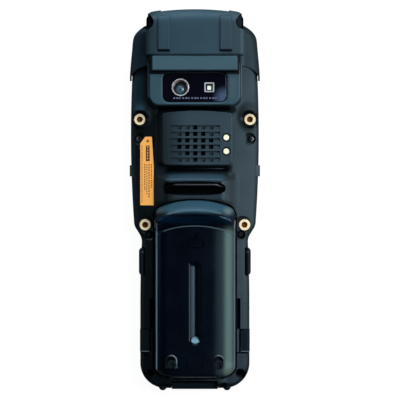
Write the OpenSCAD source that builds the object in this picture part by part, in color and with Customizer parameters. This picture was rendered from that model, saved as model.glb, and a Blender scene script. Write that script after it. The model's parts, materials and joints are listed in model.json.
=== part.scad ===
// Portable barcode data terminal, lying on its keypad side with its back up.
// X runs across the body, Y towards the scanner head, Z out of the back.

/* [Body] */
// Overall length, from the lug tips to the scanner head
body_l = 200; // [196:1:210]
// Widest part of the upper body
upper_w = 67.2; // [66:0.2:70]
// Width of the grip round the battery
grip_w = 57.3; // [56.8:0.1:59]
// Height of the back's crown above the front rim
deck_z = 20; // [19.5:0.25:21]
// Radius of the crown across the back
crown_r = 110; // [100:5:200]
// Thickness of the housing walls
wall = 2.2; // [1.8:0.1:2.6]
// Height of the parting plane between the two housings
split_z = 10; // [9.8:0.1:10.4]
// Thickness of the gasket between the two housings
gasket_t = 0.6; // [0.4:0.1:1]
// Radius of the two lower corners
low_corner_r = 13; // [10:0.5:14]

/* [Scanner head] */
// Length of the raised head block
head_l = 24.8; // [23:0.1:26]
// Width of the raised head block
head_w = 51.2; // [50:0.1:52]
// Height of the head block above the front rim
head_z = 26.6; // [26:0.1:28]
// Radius of the head's domed end
dome_r = 148; // [120:1:200]
// Thickness of the bumper's skin
skin = 1.2; // [1:0.1:1.5]
// Distance that the bumper's lower edge stands out from the body
bumper_out = 0.55; // [0.4:0.05:0.9]
// Length of the bumper's side cheeks
cheek_l = 37.6; // [36:0.1:39]
// Width of each raised rib on the head
rib_w = 6.3; // [4:0.1:7]
// Length of each raised rib
rib_l = 17.8; // [12:0.1:20]
// Distance of a rib's middle from the body's middle
rib_x = 16.2; // [14:0.1:17]
// Height that the ribs stand proud
rib_h = 0.9; // [0.4:0.1:1.2]
// Width of the scan window
window_w = 33; // [28:0.5:35]
// Height of the scan window
window_h = 9.6; // [8:0.1:10]

/* [Camera] */
// Length of the visor bar above the camera
visor_l = 7.4; // [6:0.1:8]
// Height of the visor bar above the front rim
visor_z = 26; // [25.6:0.1:26.5]
// Length of the camera bezel
bezel_l = 18.7; // [18.4:0.1:20]
// Width of the camera bezel
bezel_w = 47.4; // [46:0.1:48]
// Height of the camera bezel above the front rim
bezel_z = 24.4; // [24:0.1:25]
// Width of the camera glass
glass_w = 33.4; // [32:0.1:35]
// Length of the camera glass
glass_l = 15.4; // [14.8:0.1:15.8]
// Outer radius of the lens ring
ring_r = 4.7; // [4:0.1:4.9]
// Radius of the camera lens
lens_r = 2.4; // [1.5:0.1:2.8]
// Distance of the lens from the body's middle
lens_x = 7.5; // [6:0.1:9]
// Side of the square flash frame
flash_w = 5.3; // [4:0.1:6]

/* [Speaker panel] */
// Length of the speaker panel
panel_l = 28.7; // [28:0.1:29.5]
// Width of the speaker panel at its foot
panel_w = 40.4; // [39:0.1:41]
// Height of the speaker panel above the front rim
panel_z = 22.6; // [22.2:0.1:23.4]
// Number of slots in the grille
slot_rows = 6; // [4:1:7]
// Distance between slots
row_pitch = 3.37; // [3:0.01:3.5]
// Number of cells along a slot
cell_count = 7; // [5:2:7]
// Distance between cells
cell_pitch = 4.15; // [3.4:0.01:4.2]
// Side of each square through hole
hole_w = 2.3; // [1.6:0.1:2.5]
// Radius of each grip contact
contact_r = 1.65; // [1:0.05:2]

/* [Strap recess] */
// Length of the finger valley between the panel and the ridge
valley_l = 3.2; // [3:0.1:3.6]
// Length of the ridge's rising face
ridge_l = 4.8; // [4.4:0.1:5.2]
// Height of the ridge above the front rim
ridge_z = 24.2; // [23.8:0.1:25]
// Length of the recess that the hand strap passes through
slot_l = 6.8; // [6.6:0.1:7.2]
// Width of the strap recess
slot_w = 33; // [30:0.5:34]
// Height of the recess floor above the front rim
slot_floor_z = 15; // [14.5:0.1:16]
// Radius of the steel strap bar
bar_r = 0.7; // [0.5:0.05:0.8]
// Length of the strip between the recess and the battery bay
strip_l = 2.2; // [2:0.1:2.6]

/* [Battery] */
// Gap round the battery cover
cover_gap = 0.85; // [0.6:0.05:1]
// Width of the battery cover
cover_w = 42.4; // [42:0.1:42.8]
// Distance of the cover's lower edge from the lug tips
cover_end = 6.7; // [6.5:0.1:7.5]
// Radius of the cover's arched upper edge
arch_r = 53; // [45:1:80]
// Height of the cover's main face above the front rim
cover_z = 26.2; // [25.8:0.1:27]
// Height of the cover's finger roll above the front rim
roll_z = 31; // [30:0.1:32]
// Distance of the roll's top from the cover's upper edge
roll_y = 7.2; // [6.8:0.1:8]
// Radius of the cover's long edges
cover_edge_r = 6.5; // [5.5:0.1:7]
// Thickness of the cover
cover_t = 1.6; // [1.4:0.1:1.8]
// Width of the long groove in the cover
groove_w = 5.6; // [4:0.1:7]
// Length of the long groove in the cover
groove_l = 44; // [38:0.5:48]
// Depth of the groove
groove_d = 0.6; // [0.3:0.1:0.8]
// Height of the battery bay's floor
bay_z = 12; // [11.8:0.1:12.4]
// Distance of each latch from the body's middle
latch_x = 12.3; // [11:0.1:13]
// Travel of each latch
latch_travel = 1.5; // [1:0.1:1.8]

/* [Fasteners] */
// Distance of the upper inserts from the body's middle
insert_up_x = 28.9; // [28.4:0.1:29]
// Distance of the lower inserts from the body's middle
insert_low_x = 26.05; // [26:0.05:26.2]
// Outer radius of the threaded inserts
insert_r = 3.15; // [2.8:0.05:3.2]
// Bore radius of the threaded inserts, for an M3 thread
insert_bore_r = 1.25; // [1.2:0.05:1.6]
// Length of the threaded inserts
insert_l = 4; // [3:0.1:4.2]
// Radius of a housing screw's head
screw_head_r = 1.6; // [1.4:0.05:1.8]
// Radius of a housing screw's shank
screw_r = 0.9; // [0.7:0.05:1]
// Radius of the wells that the screws sit in
well_r = 2.3; // [2.1:0.05:2.4]

/* [Side keys] */
// Length of the upper side keys
side_key_l = 5.9; // [5:0.1:7]
// Length of the lower scan keys
scan_key_l = 15; // [12:0.1:17]
// Height of the side keys
key_h = 4; // [3:0.1:4.2]
// Distance that the side keys stand proud
key_proud = 0.9; // [0.6:0.1:1.2]
// Travel of a side key
side_travel = 0.6; // [0.3:0.1:0.6]

/* [Covers at the ports] */
// Length of a side port cover
port_l = 11.7; // [11:0.1:12.5]
// Distance of a port cover's upper edge from the lug tips
port_from_end = 32; // [31:0.1:33]
// Width of the dock flap
flap_w = 24; // [22:0.5:25]
// Width of each lug
lug_w = 4.2; // [3.6:0.1:4.6]
// Distance of each lug from the body's middle
lug_x = 16.8; // [16.4:0.1:17.4]
// Radius of the flap's hinge pin
pin_r = 0.75; // [0.5:0.05:0.8]

/* [Front] */
// Thickness of the front plate
plate_t = 2.2; // [2:0.1:2.4]
// Width of the display glass
screen_w = 58; // [54:0.5:59]
// Length of the display glass
screen_l = 80; // [76:0.5:82]
// Side gap between the display glass and the front housing
screen_gap = 0.15; // [0.1:0.05:0.3]
// Width of a number key
keycap_w = 13.6; // [12:0.1:14.4]
// Length of a number key
keycap_l = 8.6; // [7:0.1:9.2]
// Distance between key columns
key_pitch_x = 17; // [16:0.1:17.4]
// Distance between key rows
key_pitch_y = 12.4; // [11.6:0.1:12.8]
// Travel of a front key
key_travel = 0.5; // [0.3:0.1:0.5]
// Thickness of the main board
board_t = 1.2; // [1:0.1:1.6]

/* [Hidden] */
$fn = 48;
top_y = body_l / 2;
low_y = -body_l / 2;
end_y = low_y - 5;
seat = 0.05;
run = 0.3;
far = 50;
post_r = screw_r + seat + 1.3;
front_top_z = split_z - gasket_t / 2;
rear_low_z = split_z + gasket_t / 2;
bumper_w = upper_w + 2 * bumper_out;

// Levels of the front's parts above the front rim
glass_in = 0.4;
glass_t = 1.2;
board_z = 4.9;

// Places along the body, from the head down to the battery bay
head_y0 = top_y - head_l;
visor_y0 = head_y0 - visor_l;
bezel_y0 = visor_y0 - bezel_l;
panel_gap = 2.9;
panel_y1 = bezel_y0 - panel_gap;
panel_y0 = panel_y1 - panel_l;
panel_mid_y = (panel_y0 + panel_y1) / 2;
valley_y = panel_y0 - valley_l;
ridge_y = valley_y - ridge_l;
slot_y0 = ridge_y - slot_l;
bay_y1 = slot_y0 - strip_l;
cover_y1 = bay_y1 - cover_gap;
cover_y0 = low_y + cover_end;

// Outline of the body
widest_y = top_y - 66;
upper_bow = 0.00078;
shoulder_y = bay_y1 - 12;
shoulder_r = 7;
grip_in = 0.8;
grip_full_y = low_y + 45;
cap_y0 = low_y + 1.2;
cheek_y0 = top_y - cheek_l;
cheek_top_y = top_y - 17.6;
cheek_r = 8.4;
cheek_taper = 1.75;
head_fillet = 3;
platform_x = head_w / 2 - 1;
platform_z = bezel_z - 2.1;
core_z = head_z - 2.4;
skirt_z = 4.5;
brow_l = 17;
screen_y = top_y - brow_l - screen_l / 2;
board_y0 = cap_y0 + 5;
board_y1 = head_y0 + 10;

function arc(c, r, a0, a1, n) = [for (i = [0:n]) let (a = a0 + (a1 - a0) * i / n) c + r * [cos(a), sin(a)]];
function both(right) = concat(right, [for (i = [len(right) - 1:-1:0]) [-right[i][0], right[i][1]]]);
function upper_half(y) = upper_w / 2 - upper_bow * pow(y - widest_y, 2);

// Right half of a form with straight sides, a domed upper end of radius R and rounded shoulders
function domed(hw, y1, R, fillet, y0) =
    let (cy = y1 - R)
    let (fy = cy + sqrt(pow(R - fillet, 2) - pow(hw - fillet, 2)))
    let (a = atan2(fy - cy, hw - fillet))
    concat([[hw, y0]], arc([hw - fillet, fy], fillet, 0, a, 6), arc([0, cy], R, a, 90, 8));

shoulder_x = upper_half(shoulder_y);
grip_x = grip_w / 2 - grip_in;
shoulder_a = min(32, acos(1 - (shoulder_x - grip_x) / (2 * shoulder_r)));
shoulder_run = (shoulder_x - grip_x - 2 * shoulder_r * (1 - cos(shoulder_a))) / tan(shoulder_a);
grip_top_y = shoulder_y - 2 * shoulder_r * sin(shoulder_a) - shoulder_run;
grip_points = [
    for (i = [0:4])
    let (t = i / 4)
    [grip_w / 2 - grip_in * t * t, grip_full_y + (grip_top_y - grip_full_y) * t]
];
upper_points = [
    for (i = [1:8])
    let (y = shoulder_y + (cheek_y0 - shoulder_y) * i / 8)
    [upper_half(y), y]
];
cheek_x = bumper_w / 2 - cheek_taper;
body_points = concat(
    arc([grip_w / 2 - low_corner_r, cap_y0 + low_corner_r], low_corner_r, -90, 0, 9),
    grip_points,
    arc([grip_x + shoulder_r, grip_top_y], shoulder_r, 180, 180 - shoulder_a, 4),
    arc([shoulder_x - shoulder_r, shoulder_y], shoulder_r, -shoulder_a, 0, 4),
    upper_points,
    arc([cheek_x - cheek_r, cheek_top_y], cheek_r - skin, 0, 90, 6)
);
cheek_points = concat(
    [[head_w / 2 - 2, cheek_y0 + 9.2], [bumper_w / 2 - 2.9, cheek_y0 + 6.5]],
    [[bumper_w / 2 - 1.5, cheek_y0 + 4.3]],
    [[bumper_w / 2 - 1.8, cheek_y0], [bumper_w / 2, cheek_y0]],
    arc([cheek_x - cheek_r, cheek_top_y], cheek_r, 0, 90, 8)
);

// Cover outline, grown by g for the bay that holds it
cover_corner = 10;
cover_corner_y = 6;
function cover_points(g) = concat(
    [
        for (i = [0:6])
        let (a = -90 + 15 * i)
        let (x = cover_w / 2 - cover_corner + (cover_corner + g) * cos(a))
        [x, cover_y0 + cover_corner_y + (cover_corner_y + g) * sin(a)]
    ],
    domed(cover_w / 2 + g, cover_y1 + g, arch_r + g, 3.5 + g, cover_y0 + cover_corner_y + 1)
);

module mirrored() {
    children();
    mirror([1, 0, 0]) children();
}

module block(x0, x1, y0, y1, z0, z1) {
    translate([x0, y0, z0]) cube([x1 - x0, y1 - y0, z1 - z0]);
}

// Flat plate with round corners
module plate(w, l, r, h) {
    linear_extrude(h) union() {
        square([w - 2 * r, l], center = true);
        square([w, l - 2 * r], center = true);
        for (x = [-1, 1], y = [-1, 1]) translate([x * (w / 2 - r), y * (l / 2 - r)]) circle(r);
    }
}

// Everything under the crown of the back, shifted out by d
module under_crown(d = 0) {
    translate([0, end_y, deck_z - crown_r]) rotate([-90, 0, 0])
        cylinder(r = crown_r + d, h = body_l + 10, $fn = 180);
}

module head_plan(inset = 0) {
    offset(delta = -inset) polygon(both(domed(head_w / 2, top_y, dome_r, head_fillet, head_y0 - 10)));
}

module body_plan(inset = 0) {
    offset(delta = -inset) union() {
        polygon(both(body_points));
        head_plan(skin);
    }
}

module cover_plan(g = 0) {
    polygon(both(cover_points(g)));
}

// Screws and inserts
insert_up_y = panel_y1 - 4.25;
insert_low_y = shoulder_y - 1.8;
screw_head_l = 1.3;
screw_low_y = shoulder_y - 6.9;
screw_cap_y = cover_y0 + 2.4;
screw_spots = [
    [29.6, insert_up_y - 10.2, 14.2],
    [24.2, screw_low_y, 13],
    [23.7, screw_cap_y, 13]
];
insert_spots = [[insert_up_x, insert_up_y, 15.2], [insert_low_x, insert_low_y, 16.2]];
insert_well_r = insert_r + 0.6;
insert_boss_z = 17.2;

module at_screws() {
    for (s = screw_spots, x = [-1, 1]) translate([x * s[0], s[1], s[2]]) children();
}

module at_inserts() {
    for (s = insert_spots, x = [-1, 1]) translate([x * s[0], s[1], s[2]]) children();
}

// Side keys
side_key_y = valley_y + 0.75;
scan_key_y = shoulder_y - 21;
key_z = rear_low_z + 1.2;
port_y0 = low_y + port_from_end - port_l;
port_y1 = port_y0 + port_l;
port_x = grip_w / 2;
port_in_x = port_x - 5.2;
cap_join_y = port_y0 - run;
usb_z0 = board_z + board_t;

module rear_housing() {
    color("#26323b") difference() {
        union() {
            intersection() {
                linear_extrude(deck_z + 1) body_plan();
                under_crown();
            }
            head_core();
            platform();
            ridge();
            insert_bosses();
        }
        block(-far, far, end_y, top_y + 5, -1, rear_low_z);
        rear_cavity();
        translate([0, 0, bay_z]) linear_extrude(30) cover_plan(cover_gap);
        strap_recess();
        panel_opening();
        camera_opening();
        window_opening(0);
        tab_slots();
        at_screws() translate([0, 0, -20]) cylinder(r = screw_r + seat, h = 30);
        at_screws() translate([0, 0, -screw_head_l]) cylinder(r = well_r, h = 20);
        at_inserts() translate([0, 0, -insert_l - 0.4]) cylinder(r = insert_r + 0.02, h = 20);
        at_inserts() cylinder(r = insert_well_r, h = 20);
        mirrored() key_pockets();
        mirrored() port_pocket();
        label_recess();
        cap_room();
    }
}

module head_core() {
    intersection() {
        linear_extrude(core_z) intersection() {
            head_plan(skin);
            translate([0, top_y - head_l / 2 - 2]) square([head_w, head_l + 4], center = true);
        }
        block(-far, far, head_y0, top_y, rear_low_z, core_z);
    }
}

module platform() {
    translate([0, (bezel_y0 + head_y0) / 2, rear_low_z])
        plate(2 * platform_x, head_y0 - bezel_y0 + 2.4, 6, platform_z - rear_low_z);
}

// Ridge that the fingers hook over, with the strap recess in it
ridge_low_x = slot_w / 2 + 4;
ridge_top_x = slot_w / 2 - 0.9;

module ridge() {
    hull() {
        block(-ridge_low_x, ridge_low_x, bay_y1 - 3, valley_y, deck_z - 2.6, deck_z - 2.4);
        block(-ridge_top_x, ridge_top_x, bay_y1, ridge_y, ridge_z - 0.2, ridge_z);
    }
}

module insert_bosses() {
    intersection() {
        for (x = [-1, 1]) translate([x * insert_up_x, insert_up_y, rear_low_z])
            cylinder(r1 = insert_well_r + 5, r2 = insert_well_r + 0.7, h = insert_boss_z - rear_low_z);
        linear_extrude(30) body_plan();
    }
}

module rear_cavity() {
    intersection() {
        translate([0, 0, rear_low_z - 1]) linear_extrude(20) body_plan(wall);
        under_crown(-wall);
        difference() {
            block(-far, far, valley_y + wall, top_y, 0, 30);
            at_inserts() translate([0, 0, -20]) cylinder(r = insert_well_r + 1.2, h = 30);
            at_screws() translate([0, 0, -20]) cylinder(r = well_r + 1, h = 30);
        }
    }
    head_room();
    mirrored() side_channel();
}

module head_room() {
    intersection() {
        linear_extrude(core_z - wall) offset(delta = -wall) head_plan(skin);
        block(-far, far, head_y0 + 1, top_y, rear_low_z - 1, core_z - wall);
    }
}

// Narrow hollow between the battery bay and the outer wall
module side_channel() {
    block(bay_x + 1.4, grip_x - 2, port_y1 + 3, screw_low_y - well_r - 2, rear_low_z - 1, 14.2);
}

bay_x = cover_w / 2 + cover_gap;

module strap_recess() {
    hull() {
        block(-slot_w / 2, slot_w / 2, slot_y0, ridge_y - 1.2, slot_floor_z, slot_floor_z + 0.1);
        block(-slot_w / 2, slot_w / 2, slot_y0, slot_y0 + 2, 30, 30.1);
        block(-slot_w / 2 + 5, slot_w / 2 - 5, slot_y0, ridge_y, 30, 30.1);
    }
    block(-slot_w / 2, slot_w / 2, slot_y0 + 1, ridge_y + 2.6, slot_floor_z, ridge_z - 3);
    bar_seat();
}

bar_back = 1.75;
bar_drop = 1.6;
bar_in = 2;
bar_y = ridge_y - bar_back;
bar_z = ridge_z - bar_drop;
bar_l = slot_w + 2 * bar_in;

module bar_rod(r, l) {
    translate([0, bar_y, bar_z]) rotate([0, 90, 0]) cylinder(r = r, h = l, center = true);
}

module bar_seat() {
    bar_rod(bar_r + 0.02, bar_l);
}

module strap_bar() {
    color("#aab2bb") bar_rod(bar_r, bar_l - 0.2);
}

contact_x = 16.4;
contact_y = panel_mid_y - 3.15;
contact_z = 14.4;
contact_pitch = 7.2;

module at_contacts() {
    for (y = [-1, 1]) translate([contact_x, contact_y + y * contact_pitch / 2, contact_z]) children();
}

module panel_opening() {
    translate([0, panel_mid_y, bay_z]) plate(panel_w - 9.4, panel_l - 6, 2, 20);
    at_contacts() cylinder(r = contact_r + seat, h = 30);
}

module camera_opening() {
    translate([0, glass_y, 10]) plate(glass_w - 5, glass_l - 5, 1.5, 20);
}

window_z0 = 12;
window_y = top_y - 3.6;

module window_opening(grow) {
    half = window_w / 2 + grow;
    block(-half, half, window_y - 1, top_y + 5, window_z0 - grow, window_z0 + window_h + grow);
}

tab_x = 12;
tab_w = 5;
tab_l = 5.6;
tab_t = 1.4;
tab_z = 19;

module tab_slots() {
    half = tab_w / 2 + run;
    for (x = [-tab_x, tab_x])
        block(x - half, x + half, bay_y1 - 4, bay_y1 + 1.4, tab_z - 0.4, tab_z + tab_t + 0.8);
}

module key_pocket(x, y, half, z) {
    block(x - side_travel - 0.4, far, y - half, y + half, key_z - run, z);
}

module key_pockets() {
    key_pocket(side_key_in, side_key_y, side_key_l / 2 + run, key_z + key_h + run);
    key_pocket(scan_key_in, scan_key_y, scan_key_l / 2 + run, 30);
}

key_depth = 3.6;
side_key_out = upper_half(side_key_y) + key_proud;
side_key_in = side_key_out - key_depth;
scan_key_out = grip_w / 2 + key_proud - 0.2;
scan_key_in = scan_key_out - key_depth;

module port_pocket() {
    block(port_in_x - run, far, port_y0 - run, port_y1 + run, usb_z0 - 1, 30);
}

module cap_room() {
    difference() {
        block(-far, far, end_y, cap_join_y, rear_low_z - 1, 30);
        linear_extrude(bay_z) cover_plan(cover_gap - 0.1);
    }
}

// Label with one corner cut off beside the screw
label_x0 = 21.9;
label_w = 6.8;
label_l = 36;
label_y1 = valley_y + 18.6;
label_z = 15.35;
label_cut_w = 2.9;
label_cut_l = 4.8;

module label_plan(g) {
    x0 = -label_x0 - label_w - g;
    x1 = -label_x0 + g;
    y0 = label_y1 - label_l - g;
    y1 = label_y1 + g;
    polygon([[x0, y0], [x1, y0], [x1, y1], [x0 + label_cut_w, y1], [x0, y1 - label_cut_l]]);
}

module label_recess() {
    translate([0, 0, label_z]) linear_extrude(20) label_plan(0.1);
}

module label_plate() {
    color("#f5a04a") intersection() {
        translate([0, 0, label_z]) linear_extrude(3) label_plan(0);
        under_crown(-0.1);
    }
}

module front_housing() {
    color("#1d262d") difference() {
        linear_extrude(front_top_z) body_plan();
        difference() {
            translate([0, 0, plate_t]) linear_extrude(20) body_plan(wall);
            screw_posts(post_r);
        }
        screw_bores();
        translate([0, screen_y, -1]) {
            plate(screen_w + 2 * screen_gap, screen_l + 2 * screen_gap, 3, 1 + glass_t + glass_in);
            plate(screen_w - 3, screen_l - 3, 2, split_z);
        }
        earpiece_cut();
        for (k = keys) key_cut(k);
        mirrored() port_pocket();
        mirrored() port_cut();
        dock_cut();
    }
}

module screw_posts(r) {
    at_screws() translate([0, 0, -20]) cylinder(r = r, h = 30);
}

module screw_bores() {
    for (s = screw_spots, x = [-1, 1]) translate([x * s[0], s[1], plate_t])
        cylinder(r = screw_r + seat, h = 20);
}

module housing_gasket() {
    color("#0c0f12") translate([0, 0, front_top_z]) difference() {
        linear_extrude(gasket_t) difference() {
            body_plan(0.5);
            body_plan(wall);
        }
        gasket_gaps();
    }
}

// The gasket stops where the lids at the lower end pass it
module gasket_gaps() {
    mirrored() block(port_in_x - run, far, port_y0 - run, port_y1 + run, -1, gasket_t + 1);
    block(-flap_x - run, flap_x + run, end_y, low_y + 12, -1, gasket_t + 1);
}

module top_bumper() {
    color("#2c3e4a") difference() {
        union() {
            intersection() {
                translate([0, 0, skirt_z]) linear_extrude(30) polygon(both(cheek_points));
                under_crown(skin + 0.4);
            }
            head_shell();
            ribs();
        }
        translate([0, 0, -1]) linear_extrude(front_top_z + 2) body_plan(-seat);
        intersection() {
            linear_extrude(40) body_plan(-seat);
            under_crown(seat);
        }
        core_room();
        window_opening(1.2);
        mirrored() corner_notch();
    }
}

brow_r = 7.5;

module head_shell() {
    intersection() {
        translate([0, 0, skirt_z]) linear_extrude(head_z - skirt_z) intersection() {
            head_plan();
            translate([0, top_y - head_l / 2]) square([head_w + 2, head_l], center = true);
        }
        rotate([90, 0, 90]) linear_extrude(80, center = true) polygon(concat(
            [[head_y0 - 1, 0], [top_y + 1, 0], [top_y + 1, head_z - 9]],
            arc([top_y - brow_r, head_z - brow_r - 0.5], brow_r, 20, 90, 6),
            [[head_y0 - 1, head_z]]
        ));
    }
}

module ribs() {
    for (x = [-rib_x, rib_x]) translate([x - rib_w / 2, head_y0 + 3, head_z - 1])
        cube([rib_w, rib_l, rib_h + 1]);
}

module core_room() {
    translate([0, 0, -1]) linear_extrude(core_z + 1 + seat) head_plan(skin - seat);
    translate([0, (bezel_y0 + head_y0) / 2, 5])
        plate(2 * platform_x + 2 * seat, head_y0 - bezel_y0 + 2.5, 6, platform_z - 5 + seat);
}

notch_r = 3.6;
notch_z = 14;

module corner_notch() {
    translate([head_w / 2 + 0.2, top_y - 7.4, notch_z]) cylinder(r = notch_r, h = 30);
}

module bottom_cap() {
    color("#1a2229") difference() {
        union() {
            intersection() {
                translate([0, 0, rear_low_z]) linear_extrude(20) body_plan();
                under_crown();
            }
            mirrored() lug();
        }
        block(-far, far, cap_join_y - 0.1, top_y, -1, 40);
        linear_extrude(40) cover_plan(cover_gap);
        flap_room();
        at_screws() translate([0, 0, -20]) cylinder(r = screw_r + seat, h = 30);
        at_screws() translate([0, 0, -screw_head_l]) cylinder(r = well_r, h = 20);
        pin_seat();
    }
}

lug_h = 7.6;

module lug() {
    translate([lug_x, low_y + lug_w / 2, rear_low_z]) {
        cylinder(r = lug_w / 2, h = lug_h);
        translate([-lug_w / 2, 0, 0]) cube([lug_w, 4, lug_h]);
    }
}

flap_y = low_y + 3.1;
flap_z = rear_low_z + 4;
flap_barrel_r = 1.7;
flap_out_y = low_y + 0.6;
flap_x = flap_w / 2;
flap_t = 1.2;
flap_low_z = 3.2;

module flap_room() {
    block(-flap_x - run, flap_x + run, end_y, flap_y + flap_barrel_r + run, -1, 40);
}

// Round bar on the flap's axis
module flap_rod(r, l) {
    translate([0, flap_y, flap_z]) rotate([0, 90, 0]) cylinder(r = r, h = l, center = true);
}

module pin_seat() {
    flap_rod(pin_r + 0.02, flap_w + 8);
}

module flap_pin() {
    color("#9aa0a6") flap_rod(pin_r, flap_w + 7.8);
}

module dock_flap() {
    color("#161c22") difference() {
        union() {
            flap_rod(flap_barrel_r, flap_w);
            block(-flap_x, flap_x, flap_out_y, flap_out_y + flap_t, flap_low_z, flap_z + flap_barrel_r);
            block(-flap_x, flap_x, flap_out_y, flap_y, flap_z + 0.7, flap_z + flap_barrel_r);
        }
        flap_rod(pin_r + 0.06, flap_w + 2);
    }
}

module dock_cut() {
    block(-flap_x - run, flap_x + run, end_y, flap_out_y + flap_t + run, flap_low_z - run, 40);
    block(-dock_w / 2 - 0.5, dock_w / 2 + 0.5, end_y, low_y + 12, usb_z0, 40);
}

dock_w = 19;
dock_in_x = dock_w / 2 - 1.2;
dock_pitch = 1.7;
dock_pin_w = 0.7;

module dock_connector() {
    color("#0b0d0f") difference() {
        block(-dock_w / 2, dock_w / 2, cap_y0 + 2.6, cap_y0 + 9, usb_z0, front_top_z - run);
        block(-dock_in_x, dock_in_x, cap_y0 + 2, cap_y0 + 7, usb_z0 + 0.8, front_top_z - 1.1);
    }
    color("#d8b45a") for (i = [-4:4]) translate([i * dock_pitch, 0, usb_z0 + 0.8])
        block(-dock_pin_w / 2, dock_pin_w / 2, cap_y0 + 3.4, cap_y0 + 7, 0, 0.4);
}

// Camera
glass_y = visor_y0 - 1.6 - glass_l / 2;
glass_z = bezel_z - 0.7;
lens_drop = 0.9;
lens_y = glass_y - lens_drop;
lens_z = glass_z - 2.2;
ring_w = 0.7;
frame_w = 0.8;
frame_t = 0.3;
frame_in = flash_w - 2 * frame_w;

module camera_bezel() {
    color("#3d545f") difference() {
        union() {
            translate([0, bezel_y0 + (bezel_l + visor_l) / 2, platform_z])
                plate(bezel_w, bezel_l + visor_l - 0.3, 5.2, bezel_z - platform_z);
            visor();
        }
        translate([0, glass_y, 10]) plate(glass_w + 0.2, glass_l + 0.2, 2.6, 30);
    }
}

module visor() {
    hull() {
        block(-bezel_w / 2 + 0.2, bezel_w / 2 - 0.2, visor_y0, head_y0 - 0.3, bezel_z - 0.2, bezel_z);
        block(-bezel_w / 2 + 1.6, bezel_w / 2 - 1.6, visor_y0 + 0.1, head_y0 - 0.3, visor_z - 0.1, visor_z);
    }
}

module camera_glass() {
    color("#0a0c14") difference() {
        translate([0, glass_y, platform_z]) plate(glass_w, glass_l, 2.5, glass_z - platform_z);
        translate([-lens_x, glass_y, 10]) cylinder(r = ring_r - ring_w, h = 30);
        translate([lens_x, glass_y, 20]) cube([frame_in, frame_in, 20], center = true);
    }
}

module lens_ring() {
    color("#c9ced2") difference() {
        translate([-lens_x, glass_y, glass_z]) cylinder(r = ring_r, h = frame_t);
        translate([-lens_x, glass_y, 10]) cylinder(r = ring_r - ring_w, h = 30);
    }
}

module flash_frame() {
    color("#d7dadd") translate([lens_x, glass_y, glass_z + frame_t / 2]) difference() {
        cube([flash_w, flash_w, frame_t], center = true);
        cube([frame_in, frame_in, 3], center = true);
    }
}

led_w = 2.2;
led_z = glass_z - 1.8;
led_base_w = 3.4;
led_base_t = 2;

module flash_led() {
    color("#f4f2e2") translate([lens_x, glass_y, led_z]) plate(led_w, led_w, 0.3, 1.2);
    color("#2b2f33") translate([lens_x, glass_y, led_z - led_base_t])
        plate(led_base_w, led_base_w, 0.2, led_base_t);
}

// Camera board with the sensor's can and the post under the flash
sensor_w = 8;
sensor_z = 13;
sensor_t = 6;

module camera_module() {
    color("#15181c") difference() {
        union() {
            translate([-lens_x, lens_y, sensor_z]) plate(sensor_w, sensor_w - 0.4, 0.4, sensor_t);
            translate([-lens_x, lens_y, sensor_z]) cylinder(r = lens_r + 0.6, h = glass_z - 0.4 - sensor_z);
            block(-lens_x - 5, lens_x + 3, glass_y - 4.6, glass_y + 4, sensor_z - 1.2, sensor_z);
            translate([lens_x, glass_y, sensor_z])
                plate(led_base_w, led_base_w, 0.2, led_z - led_base_t - sensor_z);
        }
        translate([-lens_x, lens_y, lens_z]) cylinder(r = lens_r + 0.02, h = 10);
    }
}

module camera_lens() {
    color("#5a7484") translate([-lens_x, lens_y, lens_z]) intersection() {
        cylinder(r = lens_r, h = 1.9);
        translate([0, 0, -5]) sphere(r = 6.4);
    }
}

// Speaker panel
grille_y = panel_mid_y - 2.65;

module speaker_panel() {
    color("#33424d") difference() {
        hull() {
            intersection() {
                translate([0, panel_mid_y, 17]) plate(panel_w, panel_l, 2.6, 0.4);
                block(-40, 40, panel_y0, panel_y1, 10, 30);
            }
            translate([1, panel_mid_y - 0.1, panel_z - 0.2]) plate(panel_w - 4.6, panel_l - 0.6, 2.6, 0.2);
        }
        under_crown(seat);
        grille();
        at_contacts() cylinder(r = contact_r + seat, h = 30);
    }
}

module grille() {
    for (row = [0:slot_rows - 1]) {
        y = grille_y + (row - (slot_rows - 1) / 2) * row_pitch;
        open_cells = 1 + 2 * min(row, slot_rows - 1 - row);
        translate([0, y, panel_z]) cube([(cell_count - 0.9) * cell_pitch, hole_w, 1.2], center = true);
        for (i = [-(open_cells - 1) / 2:(open_cells - 1) / 2])
            translate([i * cell_pitch, y, panel_z - 3]) cube([hole_w, hole_w, 12], center = true);
    }
}

module grip_contacts() {
    color("#f0e6b8") at_contacts() cylinder(r = contact_r, h = panel_z - 0.2 - contact_z);
}

speaker_w = 26;
speaker_l = 18;
speaker_t = 6.2;
speaker_z = 11;
cone_r = 8;

module speaker() {
    color("#2a2d30") difference() {
        translate([0, panel_mid_y - 2, speaker_z]) plate(speaker_w, speaker_l, 3, speaker_t);
        translate([0, panel_mid_y - 2, speaker_z + speaker_t - 1.4]) cylinder(r = cone_r, h = 5);
    }
}

module threaded_inserts() {
    color("#e3c98f") at_inserts() translate([0, 0, -insert_l]) difference() {
        cylinder(r = insert_r, h = insert_l);
        translate([0, 0, -1]) cylinder(r = insert_bore_r, h = insert_l + 2);
    }
}

module housing_screws() {
    color("#4a5058") for (s = screw_spots, x = [-1, 1]) translate([x * s[0], s[1], 0]) difference() {
        union() {
            translate([0, 0, plate_t + run]) cylinder(r = screw_r, h = s[2] - screw_head_l - plate_t - run);
            translate([0, 0, s[2] - screw_head_l]) cylinder(r = screw_head_r, h = screw_head_l);
        }
        translate([0, 0, s[2] - 0.7]) cylinder(r = 0.7, h = 3, $fn = 6);
    }
}

// Battery
pack_w = cover_w - 2 * cover_t - 0.8;
pack_y0 = cover_y0 + 12;
pack_y1 = cover_y1 - 9;
pack_top = cover_w / 2 - cover_edge_r;

pole_pitch = 3.4;

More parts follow.
